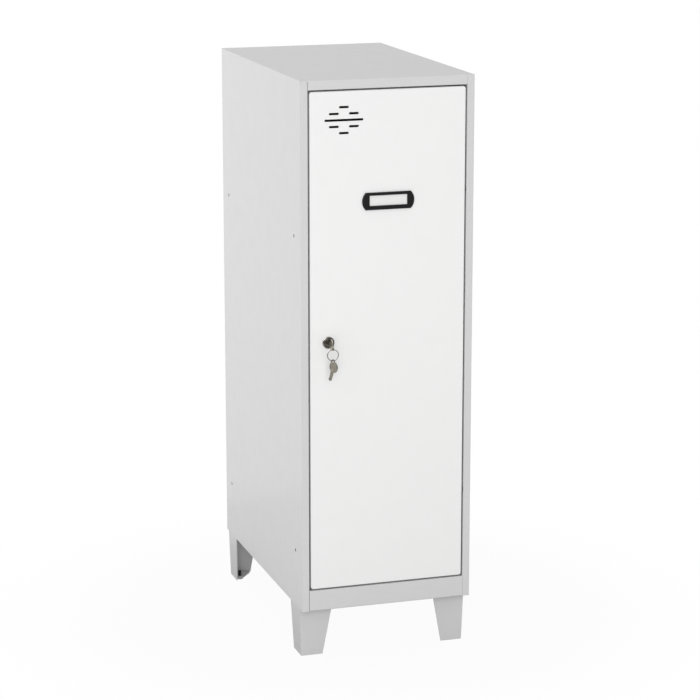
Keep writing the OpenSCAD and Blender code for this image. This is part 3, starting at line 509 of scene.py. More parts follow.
# %% Fold line
class Fold:
    """A folded line: straight stretches joined by arcs of one radius, measured by its length."""

    def __init__(self, path, radius=BEND_R, steps=6):
        """Walks the path: each corner's arc starts and ends radius * tan(turn / 2) from the corner."""
        path = np.asarray(path, float)
        heading = np.diff(path, axis=0)
        self.lengths = np.linalg.norm(heading, axis=1)
        heading /= self.lengths[:, None]
        left = np.column_stack([-heading[:, 1], heading[:, 0]])
        self.tangent = np.zeros(len(path))
        at, s, places, normals = [0.0], 0.0, [path[0]], [left[0]]
        self.start = [0.0]
        self.creases = []
        for i in range(1, len(path) - 1):
            side = np.sign(heading[i - 1][0] * heading[i][1] - heading[i - 1][1] * heading[i][0])
            turn = math.acos(np.clip(heading[i - 1] @ heading[i], -1, 1))
            self.tangent[i] = radius * math.tan(turn / 2)
            s += self.lengths[i - 1] - self.tangent[i - 1] - self.tangent[i]
            centre = path[i] - heading[i - 1] * self.tangent[i] + side * radius * left[i - 1]
            for a in np.linspace(0, turn, steps + 1):
                normal = math.cos(a) * left[i - 1] - side * math.sin(a) * heading[i - 1]
                at.append(s + radius * a)
                places.append(centre - side * radius * normal)
                normals.append(normal)
                self.creases.append(at[-1])
            s = at[-1]
            self.start.append(s)
        self.length = s + self.lengths[-1] - self.tangent[-2]
        at.append(self.length)
        places.append(path[-1])
        normals.append(left[-1])
        self.at, self.places, self.normals = np.array(at), np.array(places), np.array(normals)

    def along(self, i, distance):
        """The length at which the line is a distance past corner i, on the stretch that follows it."""
        return self.start[i] + distance - self.tangent[i]

    def place(self, s):
        """Position and left-hand normal at a length: exact on the flats and at every crease."""
        position = np.column_stack([np.interp(s, self.at, self.places[:, k]) for k in (0, 1)])
        normal = np.column_stack([np.interp(s, self.at, self.normals[:, k]) for k in (0, 1)])
        return position, normal / np.linalg.norm(normal, axis=1)[:, None]


# %% Sheet with two faces and a cut edge
def add_object(name, mesh, finish, body, stands_for=()):
    """Puts a mesh in the scene: its finish and slot, the body it rides on, the CAD nodes it stands for."""
    mesh.materials.append(finish)
    piece = linked(name, mesh)
    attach(piece, body)
    if stands_for:
        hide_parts(*stands_for)


def sheet_arrays(flat, triangles, middle, normal, thickness):
    """Closed sheet: two copies of the folded pattern, half a thickness to each side, quads round the edge.

    The pattern's own way round faces against the normal. Returns points, faces and a normal for each corner
    of each face.
    """
    count = len(flat)
    points = np.concatenate([middle - normal * thickness / 2, middle + normal * thickness / 2])
    edges = np.concatenate([triangles[:, [0, 1]], triangles[:, [1, 2]], triangles[:, [2, 0]]])
    forward = edges[:, 0] * count + edges[:, 1]
    backward = edges[:, 1] * count + edges[:, 0]
    rim = edges[~np.isin(forward, backward)]
    walls = np.column_stack([rim[:, 1], rim[:, 0], rim[:, 0] + count, rim[:, 1] + count])
    faces = triangles.tolist() + (triangles[:, ::-1] + count).tolist() + walls.tolist()
    span = points[walls[:, 1]] - points[walls[:, 0]]
    wall_normal = np.cross(span, points[walls[:, 2]] - points[walls[:, 1]])
    wall_normal /= np.linalg.norm(wall_normal, axis=1)[:, None]
    corner_normals = np.concatenate([
        -normal[triangles.ravel()],
        normal[triangles[:, ::-1].ravel()],
        np.repeat(wall_normal, 4, axis=0),
    ])
    return points, faces, corner_normals


# A place is a sign for each axis and an origin
KEEP = ((1, 1, 1), (0, 0, 0))
MIRROR = ((-1, 1, 1), (BODY_W, 0, 0))
SIDES = (("left", KEEP), ("right", MIRROR))


def turned_mesh(name, points, faces, corner_normals, place=KEEP):
    """A mesh with given corner normals. An odd number of minus signs mirrors it and turns its faces round."""
    signs, origin = place
    points = points * signs + origin
    corner_normals = corner_normals * signs
    if np.prod(signs) < 0:
        sizes = np.array([len(face) for face in faces])
        ends = np.cumsum(sizes)
        order = np.concatenate([np.arange(end)[::-1][:size] for end, size in zip(ends, sizes)])
        corner_normals = corner_normals[order]
        faces = [face[::-1] for face in faces]
    mesh = bpy.data.meshes.new(name)
    mesh.from_pydata(to_frame(points).tolist(), [], faces)
    mesh.polygons.foreach_set("use_smooth", np.ones(len(mesh.polygons), bool))
    mesh.normals_split_custom_set(corner_normals.tolist())
    return mesh


def carried_along(axis, way=1):
    """How a pattern is folded: in the plane of the other two axes, and carried along this one.

    Its first number runs along the fold and its second along the axis. A way of -1 turns the normal round.
    """
    def carried(fold, flat):
        """Points and normals of a pattern on this fold."""
        place, normal = fold.place(flat[:, 0])
        return np.insert(place, axis, flat[:, 1], 1), way * np.insert(normal, axis, 0.0, 1)

    return carried


crosswise, lengthwise, upright = carried_along(0), carried_along(1, -1), carried_along(2)


def folded_sheet(name, fold, loops, carried, finish, body, place=KEEP, stands_for=(),
                 thickness=SHEET):
    """A panel: its flat pattern is cut, creased at each bend, folded, and given its thickness."""
    low = min(loop[:, 1].min() for loop in loops) - 1
    high = max(loop[:, 1].max() for loop in loops) + 1
    flat, triangles = cut(loops, [((s, low), (s, high)) for s in fold.creases])
    middle, normal = carried(fold, flat)
    points, faces, corner_normals = sheet_arrays(flat, triangles, middle, normal, thickness)
    mesh = turned_mesh(name, points, faces, corner_normals, place)
    add_object(name, mesh, finish, body, stands_for)


# %% [markdown]
# ## Side panels
# Each side is one blank: the rebate flange behind the door, the jamb, the narrow stile face, the deep side
# and a rear flange. The rails carry the rebate across the corners, so the blank's flange stops short of
# them. Four plain holes join one locker to the next. The hinge side has a notch for each hinge lug.

# %% Side panel blanks
JOINING_HOLE_R = 3.0
JOINING_Y = (40.0, BODY_D - 40.0)
JOINING_Z = (98.0, 640.0)
LUG_T = 3.0
EYE_R, ARM_HALF = 5.0, 1.5
LUG_LEFT = PIVOT[0] - EYE_R
LUG_RIGHT = PIVOT[0] + ARM_HALF
JAMB_HOLE_FRONT, JAMB_HOLE_BACK, JAMB_HOLE_HALF = 3.0, 9.0, 4.0
SLIT = 0.08
LEG_SETBACK = 21.0

side_fold = Fold([
    (STILE_W + REBATE_W, JAMB_D + HALF),
    (STILE_W - HALF, JAMB_D + HALF),
    (STILE_W - HALF, HALF),
    (HALF, HALF),
    (HALF, BODY_D - HALF),
    (REAR_FLANGE_W, BODY_D - HALF),
])


def side_blank(hinged):
    """Outline, holes and notches of a side, along the fold and up the height."""
    fold = side_fold
    flange_end = fold.start[1] - math.pi / 2 * BEND_R
    side_start, side_end = fold.start[3], fold.along(3, fold.lengths[3]) - fold.tangent[4]
    top = BODY_H - SHEET
    outline = np.array([
        (0.0, BOTTOM_RAIL_H + REBATE_H),
        (flange_end, BOTTOM_RAIL_H + REBATE_H),
        (flange_end, BASE_LOW),
        (fold.along(1, JAMB_D + HALF - LEG_SETBACK + SLIT), BASE_LOW),
        (fold.along(1, JAMB_D + HALF - LEG_SETBACK + SLIT), 0.0),
        (fold.length, 0.0),
        (fold.length, top),
        (side_end, top),
        (side_end, BODY_H),
        (side_start, BODY_H),
        (side_start, top),
        (flange_end, top),
        (flange_end, BODY_H - TOP_RAIL_H - REBATE_H),
        (0.0, BODY_H - TOP_RAIL_H - REBATE_H),
    ])
    loops = [outline]
    for y in JOINING_Y:
        for z in JOINING_Z:
            loops.append(ring((fold.along(3, y - HALF), z), JOINING_HOLE_R))
    if hinged:
        for z in HINGE_HEIGHTS:
            near = fold.along(0, STILE_W + REBATE_W - (BODY_W - LUG_LEFT) - SLIT)
            far = fold.along(0, STILE_W + REBATE_W - (BODY_W - LUG_RIGHT) + SLIT)
            loops.append(rectangle((near, z - LUG_T / 2 - SLIT), (far, z + LUG_T / 2 + SLIT)))
            back = fold.along(1, JAMB_D + HALF - JAMB_HOLE_BACK)
            front = fold.along(1, JAMB_D + HALF - JAMB_HOLE_FRONT)
            hole = rectangle((back, z - JAMB_HOLE_HALF), (front, z + JAMB_HOLE_HALF))
            loops.append(rounded(hole, 1.0, 4))
    return loops


for side, place in SIDES:
    folded_sheet(
        f"{side}_side_sheet", side_fold, side_blank(side == "right"), upright, frame_paint, "carcass",
        place, [f"{side}_side_panel"],
    )
print("side blank", round(side_fold.length, 1), "mm wide")

# %% [markdown]
# ## Top, bottom rail and floor
# The top is folded down in front as the rail over the door, then back and down again as the rebate. The
# bottom rail is the same idea the other way up. Both are blanks carried across the width. The floor is a
# flat blank with eight screw holes, stiffened by flanges that hang between the legs.

# %% Lofts and caps
def loft(layers, closed=False, capped=False):
    """Quads from each ring of points to the next: closed joins last to first, capped closes the ends."""
    layers = np.asarray(layers, float)
    levels, count = layers.shape[:2]
    row, column = np.arange(levels if closed else levels - 1)[:, None], np.arange(count)[None]
    ahead, above = (column + 1) % count, (row + 1) % levels
    row, above = row * count, above * count
    quads = np.stack([row + column, row + ahead, above + ahead, above + column], -1)
    faces = quads.reshape(-1, 4).tolist()
    if capped:
        faces += [list(range(count))[::-1], [(levels - 1) * count + i for i in range(count)]]
    return layers.reshape(-1, 3), faces


def cap(loops, height):
    """A flat face between loops at a height."""
    flat, triangles = cut(loops)
    return np.column_stack([flat, np.full(len(flat), height)]), triangles.tolist()


def layered(loop, inset, height):
    """Copies of a loop, each set in by its own amount at its own height.

    A corner moves along the sum of its two edges' inward normals over one plus their cosine. One number of
    inset stands for the whole loop, a row of numbers for its points one by one.
    """
    ahead = np.roll(loop, -1, 0) - loop
    ahead /= np.linalg.norm(ahead, axis=1)[:, None]
    behind = np.roll(ahead, 1, 0)
    inward = np.column_stack([-ahead[:, 1] - behind[:, 1], ahead[:, 0] + behind[:, 0]])
    inward /= np.maximum(1 + (ahead * behind).sum(1), 0.5)[:, None]
    inset = np.stack([np.broadcast_to(value, len(loop)) for value in inset])
    flat = loop[None] + inset[:, :, None] * inward[None]
    height = np.broadcast_to(np.reshape(height, (-1, 1, 1)), (len(flat), len(loop), 1))
    return np.concatenate([flat, height], 2)


# %% Plates with eased edges
def joined(parts):
    """Several parts as one list of points and faces."""
    starts = np.cumsum([0] + [len(part[0]) for part in parts])
    faces = [[int(i + start) for i in face] for start, part in zip(starts, parts) for face in part[1]]
    return np.concatenate([part[0] for part in parts]), faces


def plate_arrays(loops, thickness, bevel, steps=3, fields=()):
    """Closed plate from 0 to its thickness along the third axis, with rounded edges.

    Each loop is set in by bevel * (1 - sin a) at a height of bevel * (1 - cos a), so the edge is a quarter
    round on both faces. The first loop is the outline, the others are holes. A field is a loop, its depth and
    its slope: a shallow recess in both faces.
    """
    loops = [np.asarray(loop, float) for loop in loops]
    signed = [np.sum(a[:, 0] * np.roll(a[:, 1], -1) - np.roll(a[:, 0], -1) * a[:, 1]) for a in loops]
    loops = [a if (s > 0) == (i == 0) else a[::-1] for i, (a, s) in enumerate(zip(loops, signed))]
    t = np.linspace(0, math.pi / 2, steps + 1)
    inset, height = bevel * (1 - np.sin(t)), bevel * (1 - np.cos(t))
    inset = np.concatenate([inset, inset[::-1]])
    height = np.concatenate([height, thickness - height[::-1]])
    rims = [layered(loop, inset, height) for loop in loops]
    parts = [loft(rim) for rim in rims]
    for end, way in ((0, 1), (-1, -1)):
        level = 0.0 if end == 0 else thickness
        parts.append(cap([rim[end][:, :2] for rim in rims] + [field[0] for field in fields], level))
        for loop, depth, slope in fields:
            walls = layered(loop, (0.0, slope), (level, level + way * depth))
            parts += [loft(walls), cap([walls[1][:, :2]], level + way * depth)]
    return joined(parts)


def smooth_mesh(name, parts, sharp=40.0):
    """One mesh from (points, faces) parts in body millimetres, smooth but for edges over the sharp angle."""
    points, faces = joined(parts)
    mesh = bpy.data.meshes.new(name)
    mesh.from_pydata(to_frame(points).tolist(), [], faces)
    work = bmesh.new()
    work.from_mesh(mesh)
    bmesh.ops.remove_doubles(work, verts=work.verts, dist=2e-7)
    bmesh.ops.dissolve_degenerate(work, edges=work.edges, dist=1e-8)
    bmesh.ops.recalc_face_normals(work, faces=work.faces)
    work.to_mesh(mesh)
    work.free()
    mesh.polygons.foreach_set("use_smooth", np.ones(len(mesh.polygons), bool))
    mesh.set_sharp_from_angle(angle=math.radians(sharp))
    return mesh


def add_solid(name, parts, finish, body, stands_for=(), sharp=40.0):
    """A smooth mesh of parts, put in the scene as one piece."""
    add_object(name, smooth_mesh(name, parts, sharp), finish, body, stands_for)


def moved(part, matrix=((1, 0, 0), (0, 1, 0), (0, 0, 1)), by=(0, 0, 0)):
    """A part turned by a 3 by 3 matrix and then moved."""
    return part[0] @ np.asarray(matrix, float).T + np.asarray(by, float), part[1]


def put(part, place):
    """A part drawn for the left or the front, at its own place."""
    signs, origin = place
    return part[0] * signs + origin, part[1]


# Turns that stand a plate up: its thickness then runs along the width, or along the depth
STAND_ACROSS = ((0, 0, 1), (1, 0, 0), (0, 1, 0))
STAND_BACK = ((1, 0, 0), (0, 0, 1), (0, 1, 0))


def block_part(low, high, bevel=0.3):
    """A plain block with eased edges between two corners."""
    low, high = np.asarray(low, float), np.asarray(high, float)
    part = plate_arrays([rectangle(low[:2], high[:2])], high[2] - low[2], bevel)
    return moved(part, by=(0, 0, low[2]))


# %% Top panel
top_fold = Fold([
    (JAMB_D + HALF, BODY_H - TOP_RAIL_H - REBATE_H),
    (JAMB_D + HALF, BODY_H - TOP_RAIL_H + HALF),
    (HALF, BODY_H - TOP_RAIL_H + HALF),
    (HALF, BODY_H - HALF),
    (BODY_D, BODY_H - HALF),
])
front_bend = top_fold.start[3] - math.pi / 2 * BEND_R
top_blank = [np.array([
    (0, STILE_W), (front_bend, STILE_W), (front_bend, SHEET), (top_fold.length, SHEET),
    (top_fold.length, BODY_W - SHEET), (front_bend, BODY_W - SHEET), (front_bend, BODY_W - STILE_W),
    (0, BODY_W - STILE_W),
])]
folded_sheet("top_sheet", top_fold, top_blank, crosswise, frame_paint, "carcass", KEEP,
             ["top_panel"])

STIFF_H = 15.0
REBATE_END = STILE_W + REBATE_W
FLANGE_AIR = 2.0


def flanges(front, back, end, top):
    """Three stiffening flanges that hang from a height: one along each side, and one along the back."""
    low = top - STIFF_H
    return [
        block_part((SHEET, front, low), (2 * SHEET, back, top)),
        block_part((BODY_W - 2 * SHEET, front, low), (BODY_W - SHEET, back, top)),
        block_part((end, BACK_FACE - SHEET, low), (BODY_W - end, BACK_FACE, top)),
    ]


top_flanges = flanges(REBATE_END + FLANGE_AIR, BACK_FACE - FLANGE_AIR, REBATE_END, BODY_H - SHEET)
add_solid("top_flanges", top_flanges, frame_paint, "carcass")

# %% Bottom rail
rail_fold = Fold([
    (REBATE_H, HALF),
    (HALF, HALF),
    (HALF, BOTTOM_RAIL_H - HALF),
    (JAMB_D + HALF, BOTTOM_RAIL_H - HALF),
    (JAMB_D + HALF, BOTTOM_RAIL_H + REBATE_H),
])
rail_blank = [rectangle((0, STILE_W), (rail_fold.length, BODY_W - STILE_W))]
folded_sheet("bottom_rail_sheet", rail_fold, rail_blank, crosswise, frame_paint, "carcass", KEEP,
             ["bottom_rail"])

# %% Legs' places and the floor
LEG_INSET, LEG_REAR_INSET, LEG_W = 1.1, 2.1, 57.0
LEG_PLACES = {
    f"{end}_{side}": ((x_sign, y_sign, 1), (x, y, 0))
    for end, y_sign, y in (("front", 1, LEG_SETBACK), ("rear", -1, BODY_D - LEG_REAR_INSET))
    for side, x_sign, x in (("left", 1, LEG_INSET), ("right", -1, BODY_W - LEG_INSET))
}
SCREW_PLACES = ((20.0, 40.0), (40.0, 20.0))
SCREW_R = 3.0
screw_points = np.array([
    np.array(place) * signs[:2] + origin[:2]
    for signs, origin in LEG_PLACES.values() for place in SCREW_PLACES
])


def flat_sheet(name, loops, stand, finish, stands_for):
    """An unfolded sheet: stand turns a flat pattern into positions and the way that its back looks."""
    flat, triangles = cut(loops)
    middle, normal = stand(flat)
    mesh = turned_mesh(name, *sheet_arrays(flat, triangles, middle, normal, SHEET))
    add_object(name, mesh, finish, "carcass", stands_for)


def lying(flat):
    """On the floor of the locker: width and depth as drawn, with the back of the sheet downwards."""
    return (np.column_stack([flat, np.full(len(flat), BOTTOM_RAIL_H - HALF)]),
            np.tile((0.0, 0.0, -1.0), (len(flat), 1)))


def standing(flat):
    """At the back of the locker: width and height as drawn, with the back of the sheet to the rear."""
    return (np.column_stack([flat[:, 0], np.full(len(flat), BACK_FACE + HALF), flat[:, 1]]),
            np.tile((0.0, 1.0, 0.0), (len(flat), 1)))


floor_loops = [rectangle((SHEET, JAMB_D + SHEET), (BODY_W - SHEET, BACK_FACE))]
floor_loops += [ring(place, SCREW_R + SLIT) for place in screw_points]
flat_sheet("floor_sheet", floor_loops, lying, frame_paint, ["base_panel"])
LEG_ZONE = LEG_SETBACK + LEG_W + 8.0
floor_flanges = flanges(LEG_ZONE, BODY_D - LEG_ZONE, LEG_ZONE, BASE_LOW)
add_solid("floor_flanges", floor_flanges, frame_paint, "carcass")

# %% Back, shelf and its ledges
WALL_HOLE_R = 3.5
back_loops = [rectangle((2 * SHEET, 0), (BODY_W - 2 * SHEET, BODY_H - SHEET))]
back_loops += [ring((BODY_W / 2 + x, BODY_H - 40.0), WALL_HOLE_R) for x in (-100.0, 100.0)]
flat_sheet("back_sheet", back_loops, standing, frame_paint, ["back_panel"])

SHELF_Z, SHELF_LIP, SHELF_SETBACK, SHELF_AIR = 672.0, 20.0, 32.0, 0.3
shelf_fold = Fold([
    (SHELF_SETBACK + REBATE_H, SHELF_Z - SHELF_LIP + HALF),
    (SHELF_SETBACK + HALF, SHELF_Z - SHELF_LIP + HALF),
    (SHELF_SETBACK + HALF, SHELF_Z - HALF),
    (BACK_FACE - SHELF_AIR, SHELF_Z - HALF),
])
shelf_blank = [rectangle((0, SHEET + SHELF_AIR), (shelf_fold.length, BODY_W - SHEET - SHELF_AIR))]
folded_sheet("shelf_sheet", shelf_fold, shelf_blank, crosswise, frame_paint, "carcass", KEEP,
             ["hat_shelf"])

LEDGE_W, LEDGE_INSET = 15.0, 14.0
shelf_low = SHELF_Z - SHEET
ledge_fold = Fold([
    (SHEET + HALF, shelf_low - LEDGE_W),
    (SHEET + HALF, shelf_low - HALF),
    (SHEET + LEDGE_W, shelf_low - HALF),
])
ledge_blank = [rectangle((0, SHELF_SETBACK + LEDGE_INSET), (ledge_fold.length, BACK_FACE - LEDGE_INSET))]
for side, place in SIDES:
    folded_sheet(f"{side}_ledge_angle", ledge_fold, ledge_blank, lengthwise, frame_paint, "carcass", place,
                 [f"{side}_shelf_ledge"])
print("sheets folded")

# %% [markdown]
# ## Door
# The door is a pan: a front with its vents and holes, four walls bent back, and a flange turned in behind.
# A profile of the bend is carried round the outline, and the front is a flat pattern joined to its edge. A
# point of the outline is set in towards the nearest point of the rectangle inside the corner arcs, so the
# same points make the round corners outside and the square corners of the flange inside. The wall by the
# hinges has a slot for each lug, from behind the front on, so that the door can swing past it.

# %% Door's outline, set in by any amount
DOOR_LOW = np.array([STILE_W + DOOR_GAP, BOTTOM_RAIL_H + DOOR_GAP])
DOOR_HIGH = np.array([BODY_W - STILE_W - DOOR_GAP, BODY_H - TOP_RAIL_H - DOOR_GAP])
DOOR_CORNER_R = 4.5
DOOR_RETURN_W = 12.0
HINGE_SLOT = 3.0
slot_edges = sorted(z + side * HINGE_SLOT for z in HINGE_HEIGHTS for side in (-1, 1))
door_corners = rounded(rectangle(DOOR_LOW, DOOR_HIGH), DOOR_CORNER_R, 8)
lower_half = door_corners[:, 1] < BODY_H / 2
before_edge = int(np.flatnonzero(lower_half & (door_corners[:, 0] > DOOR_HIGH[0] - 1e-6))[-1]) + 1
slot_points = np.array([(DOOR_HIGH[0], z) for z in slot_edges])
door_outline = np.concatenate([door_corners[:before_edge], slot_points, door_corners[before_edge:]])
door_centres = np.clip(door_outline, DOOR_LOW + DOOR_CORNER_R, DOOR_HIGH - DOOR_CORNER_R)
door_inward = (door_centres - door_outline) / DOOR_CORNER_R


def door_ring(inset):
    """Outline set in by an amount: along the corner's radius first, then square."""
    share = max(1 - inset / DOOR_CORNER_R, 0)
    return np.clip(door_centres + (door_outline - door_centres) * share, DOOR_LOW + inset, DOOR_HIGH - inset)


# %% Patches of one sheet
def joined_patches(patches):
    """Patches of (middle, normal, triangles) as one: equal points merged, triangles against the normal."""
    middle, normal = (np.concatenate([patch[k] for patch in patches]) for k in (0, 1))
    starts = np.cumsum([0] + [len(patch[0]) for patch in patches])
    triangles = np.concatenate([patch[2] + start for start, patch in zip(starts, patches)])
    _, first, merged = np.unique(np.round(middle, 3), axis=0, return_index=True, return_inverse=True)
    middle, normal, triangles = middle[first], normal[first], merged.reshape(-1)[triangles]
    triangles = triangles[(triangles != np.roll(triangles, 1, 1)).all(1)]
    a, b, c = (middle[triangles[:, k]] for k in range(3))
    wrong = (np.cross(b - a, c - a) * normal[triangles].mean(1)).sum(1) > 0
    triangles[wrong] = triangles[wrong, ::-1]
    return middle, normal, triangles


# %% Vents
VENT_H, VENT_SHORT, VENT_LONG = 3.8, 16.5, 66.0
VENT_CENTRE = np.array([74.0, BODY_H - 66.0])
VENT_ROWS = ((2, (0,), VENT_SHORT), (1, (-0.5, 0.5), VENT_SHORT), (0, (0,), VENT_LONG),
             (-1, (-0.5, 0.5), VENT_SHORT), (-2, (0,), VENT_SHORT))
vents = []
for row, places, width in VENT_ROWS:
    for place in places:
        middle = VENT_CENTRE + (place * 34.0, row * 10.6)
        half = np.array([width, VENT_H]) / 2
        vents.append(rounded(rectangle(middle - half, middle + half), VENT_H * 0.35, 5))
print("vents", len(vents))

# %% Door pan
HOLDER_AT = np.array([BODY_W / 2, BODY_H - 202.0])
HOLDER_W, HOLDER_H, HOLDER_T, HOLDER_BULGE = 90.0, 29.0, 3.2, 6.0
PEG_AT, PEG_R = HOLDER_W / 2 - 5.0, 2.0
LOCK = np.array([46.7, 0.0, 465.0])
BARREL_R, BARREL_FLAT = 9.0, 8.0


def barrel_ring(air, steps=72):
    """A circle with two flats: the lesser of the circle's radius and the flat's distance over |cos a|."""
    a = full_turn(steps)
    r = np.minimum(BARREL_R + air, (BARREL_FLAT + air) / np.maximum(np.abs(np.cos(a)), 1e-6))
    return polar((0, 0), r, a)


FRONT_INSET = 3.0
pan_fold = Fold([(DOOR_RETURN_W, DOOR_T - HALF), (HALF, DOOR_T - HALF), (HALF, HALF), (FRONT_INSET, HALF)])
rings = np.stack([door_ring(inset) for inset in pan_fold.places[:, 0]])
stations, around = rings.shape[:2]
wall_middle = np.stack([rings[:, :, 0], np.repeat(pan_fold.places[:, 1:], around, 1), rings[:, :, 1]], -1)
wall_normal = np.stack([
    pan_fold.normals[:, :1] * door_inward[:, 0],
    np.repeat(pan_fold.normals[:, 1:], around, 1),
    pan_fold.normals[:, :1] * door_inward[:, 1],
], -1)
row, column = np.meshgrid(np.arange(stations - 1), np.arange(around), indexing="ij")
after = (column + 1) % around
mid_z = (door_outline[column, 1] + door_outline[after, 1]) / 2
at_slot = np.any([np.abs(mid_z - z) < HINGE_SLOT for z in HINGE_HEIGHTS], axis=0)
at_edge = np.minimum(door_outline[column, 0], door_outline[after, 0]) > DOOR_HIGH[0] - 1e-6
behind_front = (pan_fold.places[row, 1] + pan_fold.places[row + 1, 1]) / 2 > SHEET + 0.2
kept = ~(at_slot & at_edge & behind_front)
a, b = row * around + column, row * around + after
c, d = (row + 1) * around + after, (row + 1) * around + column
wall_triangles = np.concatenate([np.stack([a, b, c], -1)[kept], np.stack([a, c, d], -1)[kept]])

front_loops = [door_ring(FRONT_INSET)] + vents
front_loops.append(barrel_ring(0.1) + LOCK[[0, 2]])
front_loops += [ring(HOLDER_AT + (side * PEG_AT, 0), PEG_R + SLIT) for side in (-1, 1)]
front_flat, front_triangles = cut(front_loops)
front_middle = np.column_stack([front_flat[:, 0], np.full(len(front_flat), HALF), front_flat[:, 1]])
front_normal = np.tile((0.0, 1.0, 0.0), (len(front_flat), 1))
door_middle, door_normal, door_triangles = joined_patches([
    (wall_middle.reshape(-1, 3), wall_normal.reshape(-1, 3), wall_triangles),
    (front_middle, front_normal, front_triangles),
])
door_arrays = sheet_arrays(door_middle, door_triangles, door_middle, door_normal, SHEET)
door_mesh = turned_mesh("door_pan", *door_arrays)
add_object("door_pan", door_mesh, door_paint, "door", ["door_panel"])
print("door pan", len(door_mesh.polygons), "faces")

# %% Door stiffener
STIFFENER_START = DOOR_HIGH[0] - 85.0
stiff_fold = Fold([(STIFFENER_START + x, y) for x, y in
                   ((0, 1.5), (12, 1.5), (12, 13.5), (42, 13.5), (42, 1.5), (54, 1.5))])
stiff_blank = [rectangle((0, DOOR_LOW[1] + 30), (stiff_fold.length, DOOR_HIGH[1] - 30))]
folded_sheet("stiffener_sheet", stiff_fold, stiff_blank, upright, door_paint, "door", KEEP,
             ["door_stiffener"])

# %% [markdown]
# ## Legs
# Each leg is an angle folded from thicker plate. It leans outwards up to the body, and both its faces taper
# to the foot. The lean moves every point of the fold sideways by a share of its height below the floor
# panel. A flange at the top takes two screws, and a foot plate carries a weld nut for the levelling glide.

# %% Legs
LEG_T, LEG_FLANGE_T, LEAN, FOOT_Z = 1.5, 2.0, 0.03, -87.0
LEG_FAR = 60.0
leg_fold = Fold([(LEG_T / 2, LEG_FAR), (LEG_T / 2, LEG_T / 2), (LEG_FAR, LEG_T / 2)])
leg_widths = ((BASE_LOW, LEG_W + LEAN * BASE_LOW), (0.0, LEG_W), (FOOT_Z, 38.0))
leg_depths = (*leg_widths[:2], (FOOT_Z, 44.5))
leg_blank = [np.array(
    [(LEG_FAR - depth, z) for z, depth in leg_depths]
    + [(leg_fold.along(1, width - LEG_T / 2), z) for z, width in reversed(leg_widths)]
)]
FOOT_PLATE_Z, FOOT_W, FOOT_D = -84.5, 37.2, 43.5
FOOT_FROM = LEAN * (BASE_LOW - FOOT_PLATE_Z) + LEG_T / 2
GLIDE_AT = (FOOT_FROM + 8.0, FOOT_FROM + 32.5)
STUD_R, COLLAR_R, COLLAR_H = 3.0, 5.5, 1.2


def leaning(fold, flat):
    """The folded point moved by lean * depth below the base on both axes; the normal tips to stay square."""
    place, normal = fold.place(flat[:, 0])
    lean = LEAN * (BASE_LOW - flat[:, 1:])
    normal = np.column_stack([normal, LEAN * normal.sum(1)])
    return np.column_stack([place + lean, flat[:, 1]]), normal / np.linalg.norm(normal, axis=1)[:, None]


def lathe(r, h, a):
    """Rings of points about the upright axis: (r cos a, r sin a, h)."""
    return np.stack(np.broadcast_arrays(r * np.cos(a), r * np.sin(a), h), -1)


def revolved(profile, steps=48, closed=True):
    """A profile of (radius, height) turned about the upright axis."""
    profile = np.asarray(profile, float)
    return loft(lathe(profile[:, :1], profile[:, 1:], full_turn(steps)), closed)


def corner_plate(outline, bottom, thickness, holes):
    """A plate in a leg's corner, with round holes."""
    loops = [outline] + [ring(centre, radius, 32) for centre, radius in holes]
    return moved(plate_arrays(loops, thickness, 0.2), by=(0, 0, bottom))


top_flange = rounded(rectangle((LEG_T / 2, LEG_T / 2), (52.0, 52.0)), (0, 0, 16.0, 0), 10)
foot_plate = rounded(
    FOOT_FROM + np.array([(0, 0), (FOOT_W - 2.0, 0), (FOOT_W - 5.3, 15.0), (10.0, FOOT_D), (0, FOOT_D)]),
    (0, 0, 2, 2, 0), 4,
)
collar_profile = rounded(rectangle((STUD_R + SLIT, 0), (COLLAR_R, COLLAR_H)), (0, 0, 0.4, 0.2), 4)
leg_parts = [
    corner_plate(top_flange, BASE_LOW - LEG_FLANGE_T, LEG_FLANGE_T,
                 [(place, SCREW_R + SLIT) for place in SCREW_PLACES]),
    corner_plate(foot_plate, FOOT_PLATE_Z, LEG_T, [(GLIDE_AT, STUD_R + SLIT)]),
    moved(revolved(collar_profile), by=(*GLIDE_AT, FOOT_PLATE_Z + LEG_T)),
]
for name, place in LEG_PLACES.items():
    folded_sheet(f"{name}_leg_angle", leg_fold, leg_blank, leaning, frame_paint, "carcass", place,
                 [f"{name}_leg"], LEG_T)
    plates = [put(part, place) for part in leg_parts]
    add_solid(f"{name}_leg_plates", plates, frame_paint, "carcass")
print("legs", len(LEG_PLACES))

# %% Screw thread
def threaded(radius, low, high, pitch, depth, flat=None, bore=None, steps=36):
    """Thread on a stud: r = radius - depth * |2 frac(h / pitch - a / 2 pi) - 1|, never outside a flat.

    With a bore it is a tube, and without one its ends are closed.
    """
    rows = max(int((high - low) / pitch * 8), 8)
    h = np.linspace(low, high, rows + 1)[:, None]
    a = full_turn(steps)
    r = radius - depth * np.abs(2 * np.mod(h / pitch - a / (2 * math.pi), 1) - 1)
    if flat:
        r = np.minimum(r, flat / np.maximum(np.abs(np.cos(a)), 1e-6))
    if bore:
        ends = np.full((1, steps), bore)
        r, h = np.concatenate([ends, r, ends]), np.concatenate([h[:1], h, h[-1:]])
    return loft(lathe(r, h, a), closed=bool(bore), capped=not bore)


